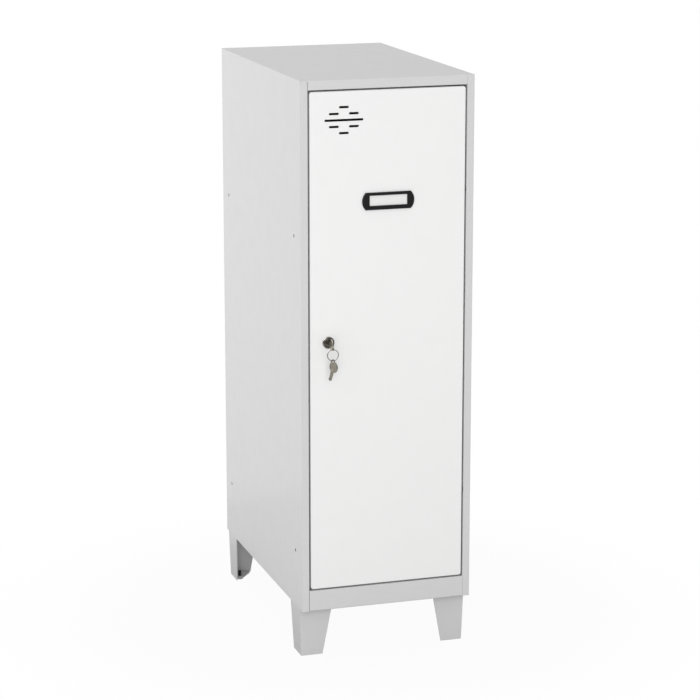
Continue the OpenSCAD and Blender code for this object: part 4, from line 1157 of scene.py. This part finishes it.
# %% Glides
GLIDE_R, GLIDE_LOW, GLIDE_T = 6.5, -87.5, 2.7
STUD_TOP, GLIDE_TOP = -72.0, GLIDE_LOW + GLIDE_T
glide_profile = rounded(
    [(0, GLIDE_LOW), (GLIDE_R - 0.9, GLIDE_LOW), (GLIDE_R - 0.1, GLIDE_LOW + 1.0),
     (GLIDE_R - 0.3, GLIDE_TOP - 0.2), (GLIDE_R - 1.5, GLIDE_TOP), (0, GLIDE_TOP)],
    (0, 0.4, 0.5, 0.5, 0.5, 0), 4,
)
glide_parts = [
    moved(revolved(glide_profile, 64, False), by=(*GLIDE_AT, 0)),
    moved(threaded(STUD_R, GLIDE_TOP - 0.1, STUD_TOP, 1.0, 0.5), by=(*GLIDE_AT, 0)),
]
for name, place in LEG_PLACES.items():
    parts = [put(part, place) for part in glide_parts]
    add_solid(f"{name}_levelling_glide", parts, black_plastic, f"{name}_foot", [f"{name}_glide"],
              50.0)
print("glides", len(LEG_PLACES))

# %% [markdown]
# ## Label holder and card
# The holder is moulded in one piece: a back, a spacer that leaves a pocket open to the right, and a front
# with a window. Its ends are arcs, where the front rolls back further than along its straight edges.

# %% Label holder
WINDOW_RISE, WINDOW_W, WINDOW_H = 1.0, 65.0, 17.0
POCKET_W, POCKET_H = 69.5, 19.5
POCKET_BACK, POCKET_FRONT = 0.8, 1.8
CARD_W, CARD_H, CARD_T = 69.0, 19.0, 0.5
end_r = (HOLDER_H ** 2 / 4 + HOLDER_BULGE ** 2) / (2 * HOLDER_BULGE)
end_angle = np.linspace(-1, 1, 25) * math.asin(HOLDER_H / 2 / end_r)
right_end = polar((HOLDER_W / 2 - end_r, 0), end_r, end_angle)
between = np.linspace(1, -1, 19)[1:-1] * right_end[0, 0]
upper_edge = np.column_stack([between, np.full(len(between), HOLDER_H / 2)])
holder_outline = np.concatenate([right_end, upper_edge, -right_end, -upper_edge])
window_half = np.array([WINDOW_W, WINDOW_H]) / 2
window_loop = rounded(rectangle(-window_half, window_half) + (0, WINDOW_RISE), 0.6, 4)

roll_width = 0.7 + 1.9 * np.clip((np.abs(holder_outline[:, 0]) - right_end[0, 0]) / 1.5, 0, 1)
quarter = np.linspace(0, math.pi / 2, 7)
roll_height = 1.5
outer_layers = layered(
    holder_outline,
    [0.0 * roll_width] + [roll_width * (1 - math.cos(a)) for a in quarter],
    [POCKET_FRONT] + [HOLDER_T - roll_height + roll_height * math.sin(a) for a in quarter],
)
window_layers = layered(
    window_loop, [0.0, 0.0, -0.15, -0.5], [POCKET_FRONT, HOLDER_T - 0.5, HOLDER_T - 0.15, HOLDER_T],
)
front_part = joined([
    loft(outer_layers), loft(window_layers),
    cap([outer_layers[0][:, :2], window_layers[0][:, :2]], POCKET_FRONT),
    cap([outer_layers[-1][:, :2], window_layers[-1][:, :2]], HOLDER_T),
])
pocket_low, pocket_high = WINDOW_RISE - POCKET_H / 2, WINDOW_RISE + POCKET_H / 2
above_pocket = right_end[right_end[:, 1] > pocket_high + 0.1]
below_pocket = right_end[right_end[:, 1] < pocket_low - 0.1]
right_of = HOLDER_W / 2 - end_r
spacer_outline = np.concatenate([
    below_pocket,
    [(right_of + math.sqrt(end_r ** 2 - pocket_low ** 2), pocket_low), (-POCKET_W / 2, pocket_low),
     (-POCKET_W / 2, pocket_high), (right_of + math.sqrt(end_r ** 2 - pocket_high ** 2), pocket_high)],
    above_pocket, upper_edge, -right_end, -upper_edge,
])
spacer_outline *= 0.999
spacer_part = plate_arrays([spacer_outline], POCKET_FRONT - POCKET_BACK + 0.1, 0.02, 1)
spacer_part = moved(spacer_part, by=(0, 0, POCKET_BACK - 0.05))
back_part = plate_arrays([holder_outline], POCKET_BACK, 0.08, 2)
peg_profile = rounded(
    [(0, -0.5), (PEG_R, -0.5), (PEG_R, 1.1), (PEG_R + 0.6, 1.15), (PEG_R - 0.3, 3.05), (0, 3.05)],
    (0, 0, 0, 0.25, 0.5, 0), 3,
)
TO_FRONT = ((1, 0, 0), (0, 0, -1), (0, 1, 0))
holder_by = (HOLDER_AT[0], 0, HOLDER_AT[1])
holder_parts = [moved(part, TO_FRONT, holder_by) for part in (front_part, spacer_part, back_part)]
holder_parts += [
    moved(revolved(peg_profile, 32, False), STAND_BACK, (HOLDER_AT[0] + side * PEG_AT, 0, HOLDER_AT[1]))
    for side in (-1, 1)
]
add_solid("label_holder_body", holder_parts, black_plastic, "door", ["label_holder"], 42)

card_half = np.array([CARD_W, CARD_H]) / 2
card_outline = rounded(rectangle(-card_half, card_half), 0.8, 4)
card_front = (POCKET_BACK + POCKET_FRONT - CARD_T) / 2
card_part = moved(plate_arrays([card_outline], CARD_T, 0.08, 2), TO_FRONT,
                  (HOLDER_AT[0], -card_front, HOLDER_AT[1] + WINDOW_RISE))
add_solid("card_blank", [card_part], card_paper, "card", ["label_card"])
print("label holder", HOLDER_W, "by", HOLDER_H, "and card", CARD_W, "by", CARD_H)

# %% [markdown]
# ## Lock
# A cam lock: a round face in front of the door, a threaded barrel with two flats through it, a nut behind,
# and a plug that turns in the barrel and carries the cam. The pieces are turned profiles about the lock's
# axis and flat plates across it.

# %% Lock housing and nut
def about_lock(part, back=0.0):
    """A part drawn about the third axis, laid along the lock's own axis."""
    return moved(part, STAND_BACK, LOCK + (0, back, 0))


PLUG_R, PLUG_LIP_R, PLUG_FRONT, BARREL_BACK, CAM_BACK = 6.0, 7.4, -3.9, 22.8, 27.3
CAM_FRONT = CAM_BACK - 2.5
FACE_R, FACE_Y = 10.3, -3.0
face_profile = rounded(
    [(PLUG_R + SLIT, 0.4), (PLUG_R + SLIT, FACE_Y), (7.75, FACE_Y), (7.9, -2.5), (8.3, -2.5),
     (8.45, FACE_Y), (FACE_R - 1.1, FACE_Y), (FACE_R, FACE_Y + 1.1), (FACE_R, 0.0), (7.9, 0.0), (7.9, 0.4)],
    (0, 0.1, 0.12, 0.1, 0.1, 0.2, 0.7, 0.7, 0.1, 0, 0), 5,
)
housing_parts = [
    about_lock(revolved(face_profile, 96)),
    about_lock(threaded(BARREL_R, 0.1, BARREL_BACK, 1.0, 0.5, BARREL_FLAT, PLUG_R + SLIT + 0.04, 72)),
]
add_solid("lock_face_and_barrel", housing_parts, chrome, "door", ["lock_housing"], 35)


def hexagon(half_width):
    """Six corners: the distance to a corner is the half width over flats divided by cos 30."""
    return ring((0, 0), half_width / math.cos(math.pi / 6), 6)


nut_loops = [rounded(hexagon(11.0), 0.4, 3), ring((0, 0), BARREL_R + SLIT, 64)]
nut_part = about_lock(plate_arrays(nut_loops, 4.0, 0.35), SHEET)
add_solid("barrel_nut", [nut_part], zinc_steel, "door", ["lock_nut"])

# %% Plug, cam and cam screw
KEY_T, BLADE_L, BLADE_H = 1.8, 12.0, 6.5


def keyway(air):
    """The slot for the blade: its thickness and height, with a little air."""
    half = np.array([KEY_T / 2 + 0.15 + air, BLADE_H / 2 + 0.3 + air])
    return rounded(rectangle(-half, half), 0.25, 3)


TENON_HALF = 3.0
plug_back = rounded(rectangle((0, 11.05), (PLUG_R - 0.02, CAM_FRONT)), (0, 0, 0.4, 0), 3)
plug_parts = [
    about_lock(plate_arrays([ring((0, 0), PLUG_LIP_R, 96), keyway(0)], 0.8, 0.22, 4), PLUG_FRONT),
    about_lock(plate_arrays([ring((0, 0), PLUG_R, 96), keyway(0.03)], 14.25, 0.05, 1), PLUG_FRONT + 0.75),
    about_lock(revolved(plug_back, 96, False)),
    block_part(LOCK + (-TENON_HALF, CAM_FRONT - 0.2, -TENON_HALF), LOCK + (TENON_HALF, CAM_BACK, TENON_HALF),
               0.15),
]
add_solid("plug_with_tenon", plug_parts, chrome, "plug", ["lock_plug"], 35)

CAM_TIP_R = 8.0
CAM_REACH = LOCK[0] - STILE_W - REBATE_W + 9.5
cam_end = polar((0, 0), CAM_TIP_R, np.linspace(0, math.pi, 25))
cam_outline = np.concatenate([cam_end, -cam_end - (0, CAM_REACH) + (0, CAM_TIP_R)])
hole_half = np.full(2, TENON_HALF + SLIT / 2)
tenon_hole = rounded(rectangle(-hole_half, hole_half), 0.2, 2)
cam_part = about_lock(plate_arrays([cam_outline, tenon_hole], CAM_BACK - CAM_FRONT, 0.4), CAM_FRONT)
add_solid("cam_plate", [cam_part], zinc_steel, "plug", ["lock_cam"])


def screw_head(low_r, top_r, height, recess=1.2):
    """A head with a cross recess: a turned disc, and over it a ring round the cross.

    The ring's side draws in by 0.35 * (1 - cos(90 degrees * share of the way up)).
    """
    w, far = 0.6, 3.1
    corner = np.array([(far, -w), (far, w), (w, w)])
    turns = ((1, 0), (0, 1), (-1, 0), (0, -1))
    cross = np.concatenate([corner @ np.array([(c, s), (-s, c)]) for c, s in turns])
    split_r = low_r + (top_r - low_r) * (height - recess) / height
    steps = np.linspace(0, 1, 6)
    side_r = split_r + (top_r - split_r) * steps - 0.35 * (1 - np.cos(steps * math.pi / 2))
    floor_z = height - recess
    side = lathe(side_r[:, None], floor_z + recess * steps[:, None], full_turn(48))
    walls = layered(cross, (0.15, 0.0), (floor_z, height))
    disc = rounded([(0, 0), (low_r, 0), (split_r, floor_z + 0.01), (0, floor_z + 0.01)], (0, 0.3, 0, 0), 3)
    return [
        revolved(disc, 48, False),
        joined([loft(side), loft(walls), cap([side[-1][:, :2], walls[-1][:, :2]], height),
                cap([side[0][:, :2], walls[0][:, :2]], floor_z)]),
    ]


cam_screw_parts = [about_lock(part, CAM_BACK) for part in screw_head(4.8, 4.5, 2.2)]
add_solid("cam_screw_head", cam_screw_parts, zinc_steel, "plug", ["cam_screw"])
print("cam reach", CAM_REACH)

# %% [markdown]
# ## Keys and ring
# A key is a flat blank: a round bow, a small holed lobe low at its outer corner, and a blade with its cuts.
# The outline runs round arcs that meet where the two circles cross. The spare key hangs by its lobe from the
# ring, which is wire wound twice with one side step.

# %% Key blank
BOW_R, BOW_OFF = 9.5, 14.0
LOBE, LOBE_R, KEY_HOLE_R = np.array([-22.0, -5.0]), 3.8, 2.2
SHOULDER_Y = -4.0


def arc(centre, radius, start, end, steps):
    """Points on a circle between two angles in degrees."""
    return polar(centre, radius, np.radians(np.linspace(start, end, steps)))


bow = np.array([-BOW_OFF, 0.0])
span = np.linalg.norm(LOBE - bow)
heading = math.degrees(math.atan2(*(LOBE - bow)[::-1])) % 360
bow_share = math.degrees(math.acos((span ** 2 + BOW_R ** 2 - LOBE_R ** 2) / (2 * span * BOW_R)))
lobe_share = math.degrees(math.acos((span ** 2 + LOBE_R ** 2 - BOW_R ** 2) / (2 * span * LOBE_R)))
neck = math.degrees(math.asin(BLADE_H / 2 / BOW_R))
half_h = BLADE_H / 2
cuts = [
    (0.6, 0), (1.6, 0.9), (2.4, 0.9), (3.3, 0.3), (4.3, 1.2),
    (5.1, 1.2), (6.1, 0.4), (7.0, 0.8), (7.8, 0.8), (8.7, 0),
]
key_outline = np.concatenate([
    arc(bow, BOW_R, neck, heading - bow_share, 44),
    arc(LOBE, LOBE_R, heading - 180 + lobe_share, heading + 180 - lobe_share, 26)[1:-1],
    arc(bow, BOW_R, heading + bow_share, 360 - neck, 26),
    [(-0.4, -half_h)], [(x, depth - half_h) for x, depth in cuts],
    [(BLADE_L - half_h / 2, -half_h), (BLADE_L, -BLADE_H / 5)],
    [(BLADE_L, BLADE_H / 5), (BLADE_L - half_h / 2, half_h)],
])
key_fields = [
    (ring(bow, 6.4, 48), 0.28, 0.35),
    (rounded(rectangle((-3.4, 0.2), (10.2, 1.7)), 0.7, 4), 0.4, 0.25),
]
key_part = plate_arrays([key_outline, ring(LOBE, KEY_HOLE_R, 32)], KEY_T, 0.3, 3, key_fields)
key_part = moved(key_part, by=(0, 0, -KEY_T / 2))

lock_key_part = moved(key_part, STAND_ACROSS, LOCK + (0, SHOULDER_Y, 0))
add_solid("key_in_lock", [lock_key_part], key_nickel, "key", ["lock_key"], 32)

RING_R, WIRE_R = 9.4, 0.7
HANG = KEY_HOLE_R - WIRE_R - 0.2
ring_top = LOCK + (0, SHOULDER_Y + LOBE[0], LOBE[1] - HANG)
ring_centre = ring_top - (0, 0, RING_R)
spare_hole = ring_centre - (0, 0, RING_R + HANG)
SPARE_TURN, SPARE_TILT = math.radians(205), math.radians(-111.5)
spare_turned = np.array(Matrix.Rotation(SPARE_TURN, 3, "Z") @ Matrix.Rotation(SPARE_TILT, 3, "X"))
spare_part = moved(moved(key_part, STAND_ACROSS, (0, -LOBE[0], -LOBE[1])), spare_turned, spare_hole)
add_solid("hanging_key", [spare_part], dull_nickel, "spare", ["spare_key"], 32)

# %% Key ring
STEP_HALF = 0.22
t = np.linspace(STEP_HALF, 4 * math.pi - STEP_HALF, 241)
stepped = np.clip((t - 2 * math.pi + STEP_HALF) / (2 * STEP_HALF), 0, 1)
side_step = -0.355 + 0.71 * stepped ** 2 * (3 - 2 * stepped)
section = rounded(rectangle((-0.62, -0.33), (0.62, 0.33)), 0.28, 4)
start_at = math.radians(-35)
radius = RING_R + section[None, :, 0]
wire = np.stack([
    radius * np.cos(t + start_at)[:, None],
    side_step[:, None] + section[None, :, 1],
    radius * np.sin(t + start_at)[:, None],
], -1)
wire_part = loft(wire + ring_centre, capped=True)
add_solid("split_ring", [wire_part], ring_steel, "ring", ["key_ring"], 50)
print("ring centre", ring_centre)

# %% [markdown]
# ## Fittings inside
# Coat rail in two cups, double hooks that slide along it, hinge lugs on the body and brackets on the door
# with dropped pins between them, rubber buffers behind the lock side, and the screws that hold the legs.

# %% Coat rail and sockets
RAIL = np.array([0.0, BODY_D / 2, SHELF_Z - 45.0])
RAIL_R, RAIL_WALL, SOCKET_T, SOCKET_END = 8.0, 1.2, 2.0, 13.0
rail_end = SHEET + SOCKET_T + 0.3
rail_profile = rounded(rectangle((RAIL_R - RAIL_WALL, rail_end), (RAIL_R, BODY_W - rail_end)), 0.3, 2)
rail_part = moved(revolved(rail_profile, 64), STAND_ACROSS, RAIL)
add_solid("rail_tube", [rail_part], zinc_steel, "carcass", ["coat_rail"])
FLANGE_R, CUP_R = 14.0, 10.5
cup_floor = SHEET + SOCKET_T
socket_profile = rounded(
    [(0, SHEET), (FLANGE_R, SHEET), (FLANGE_R, cup_floor), (CUP_R, cup_floor), (CUP_R, SOCKET_END),
     (RAIL_R + SLIT, SOCKET_END), (RAIL_R + SLIT, cup_floor), (0, cup_floor)],
    (0, 0.2, 0.9, 1.0, 0.6, 0.4, 0, 0), 4,
)
socket = moved(revolved(socket_profile, 64, False), STAND_ACROSS, RAIL)
for side, place in SIDES:
    add_solid(f"{side}_socket_cup", [put(socket, place)], zinc_steel, "carcass", [f"{side}_rail_socket"])


# %% Coat hooks
def rod(path, radii, steps=20):
    """A round rod along a path in depth and height: rings of c + r (n cos a + x sin a) across the path."""
    path, radii = np.asarray(path, float), np.asarray(radii, float)[:, None]
    way = np.gradient(path, axis=0)
    way /= np.linalg.norm(way, axis=1)[:, None]
    a = full_turn(steps)
    layers = np.stack([
        radii * np.sin(a),
        path[:, :1] - way[:, 1:] * radii * np.cos(a),
        path[:, 1:] + way[:, :1] * radii * np.cos(a),
    ], -1)
    return loft(layers, capped=True)


HOOK_R, HOOK_WIRE_R, HOOK_LOW, TIP_R = 13.0, 2.2, -27.0, 3.3
a = np.linspace(0, math.pi, 33)
swing = np.column_stack([HOOK_R - HOOK_R * np.cos(a), HOOK_LOW - HOOK_R * np.sin(a)])
past_swing = np.linspace(0.3, TIP_R - 0.02, 9)
upwards = np.column_stack([np.full(len(past_swing), 2 * HOOK_R), HOOK_LOW + past_swing])
prong_path = np.concatenate([swing, upwards])
to_tip = np.concatenate([(a - math.pi) * HOOK_R, past_swing])
ball = np.sqrt(np.maximum(TIP_R ** 2 - to_tip ** 2, 0))
prong = rod(prong_path, np.maximum(np.where(to_tip < 0, HOOK_WIRE_R, 0), ball))
eye_profile = rounded(rectangle((RAIL_R + SLIT, -4.0), (11.0, 4.0)), (0.4, 1.2, 1.2, 0.4), 4)
hook_parts = [
    moved(revolved(eye_profile, 64), STAND_ACROSS),
    block_part((-HOOK_WIRE_R, -HOOK_WIRE_R, HOOK_LOW - 0.8), (HOOK_WIRE_R, HOOK_WIRE_R, -9.5), 0.7),
    prong,
    (prong[0] * (1, -1, 1), prong[1]),
]
for side, offset in (("left", -50.0), ("right", 50.0)):
    at = RAIL + (BODY_W / 2 + offset, 0, 0)
    add_solid(f"{side}_double_hook", [moved(part, by=at) for part in hook_parts], black_plastic,
              f"{side}_hook", [f"{side}_coat_hook"], 50)
print("coat hooks at", RAIL)

# %% Hinges
BRACKET_T, PIN_R, EAR_LOW = 2.0, 2.5, 2.0
REBATE_BACK = JAMB_D + SHEET
eye_end = math.degrees(math.acos(ARM_HALF / EYE_R))
arm_outline = np.concatenate([
    [(LUG_RIGHT, REBATE_BACK + 1.0), (LUG_LEFT, REBATE_BACK + 1.0)],
    arc(PIVOT, EYE_R, 180, 360 + eye_end, 40),
])
LUG_HALF = 14.0
pad = rectangle((BODY_W - REBATE_END + 0.3, -LUG_HALF), (BODY_W - STILE_W + SHEET, LUG_HALF))
lug_parts = [
    moved(plate_arrays([arm_outline, ring(PIVOT, PIN_R + SLIT, 40)], LUG_T, 0.25), by=(0, 0, -LUG_T / 2)),
    moved(plate_arrays([rounded(pad, 2.5, 5)], BRACKET_T, 0.25), STAND_BACK, (0, REBATE_BACK, 0)),
]
bracket_fold = Fold([
    (PIVOT[0] + 8.0, EAR_LOW + BRACKET_T / 2), (PIVOT[0] - 9.0, EAR_LOW + BRACKET_T / 2),
    (PIVOT[0] - 9.0, -EAR_LOW - BRACKET_T / 2), (PIVOT[0] + 8.0, -EAR_LOW - BRACKET_T / 2),
])
bracket_blank = rectangle((0, SHEET), (bracket_fold.length, PIVOT[1] + EYE_R - HALF))
bracket_loops = [rounded(bracket_blank, 2.0, 5)] + [
    ring((s, PIVOT[1]), PIN_R + SLIT / 2, 40) for s in (8.0, bracket_fold.length - 8.0)
]
pin_reach = EAR_LOW + BRACKET_T
pin_profile = rounded(
    [(0, -pin_reach - 1.5), (PIN_R, -pin_reach - 1.5), (PIN_R, pin_reach), (PIN_R + 1.5, pin_reach),
     (PIN_R + 1.5, pin_reach + 1.5), (0, pin_reach + 1.5)],
    (0, 0.7, 0, 0.15, 0.9, 0), 4,
)
for end, z in zip(("upper", "lower"), HINGE_HEIGHTS):
    lug = [moved(part, by=(0, 0, z)) for part in lug_parts]
    add_solid(f"{end}_lug_plate", lug, frame_paint, "carcass", [f"{end}_hinge_lug"])
    folded_sheet(f"{end}_bracket_strip", bracket_fold, bracket_loops, lengthwise, zinc_steel, "door",
                 ((1, 1, 1), (0, 0, z)), [f"{end}_hinge_bracket"], BRACKET_T)
    pin = moved(revolved(pin_profile, 40, False), by=(*PIVOT, z))
    add_solid(f"{end}_dropped_pin", [pin], zinc_steel, "door", [f"{end}_hinge_pin"], 35)
print("hinges at", HINGE_HEIGHTS)

# %% Buffers, leg screws and nuts
buffer_tip = DOOR_T + 0.3
buffer_profile = rounded([(0, JAMB_D), (5.0, JAMB_D), (4.7, buffer_tip), (0, buffer_tip)], (0, 0, 1.6, 0), 6)
buffer_x = STILE_W + REBATE_W / 2
buffers = [
    moved(revolved(buffer_profile, 40, False), STAND_BACK, (buffer_x, 0, z))
    for z in (DOOR_LOW[1] + 60.0, DOOR_HIGH[1] - 60.0)
]
add_solid("buffer_pair", buffers, rubber, "carcass", ["door_buffers"])

NUT_T = 5.0
NUT_LOW = BASE_LOW - LEG_FLANGE_T - NUT_T
leg_screw = [moved(part, by=(0, 0, BOTTOM_RAIL_H)) for part in screw_head(5.7, 4.5, 2.4)]
leg_screw.append(threaded(SCREW_R, NUT_LOW - 2.0, BOTTOM_RAIL_H + 0.3, 1.0, 0.35))
leg_nut_loops = [
    rounded(hexagon(SCREW_R * 1.9 * math.cos(math.pi / 6)), 0.2, 2), ring((0, 0), SCREW_R + SLIT, 32),
]
leg_nut = [moved(plate_arrays(leg_nut_loops, NUT_T, 0.3), by=(0, 0, NUT_LOW))]
for name, parts, node in (("leg_screw_set", leg_screw, "leg_screws"), ("leg_nut_set", leg_nut, "leg_nuts")):
    everywhere = [moved(part, by=(*at, 0)) for at in screw_points for part in parts]
    add_solid(name, everywhere, zinc_steel, "carcass", [node], 35)
print("fittings on", len(screw_points), "screw places")
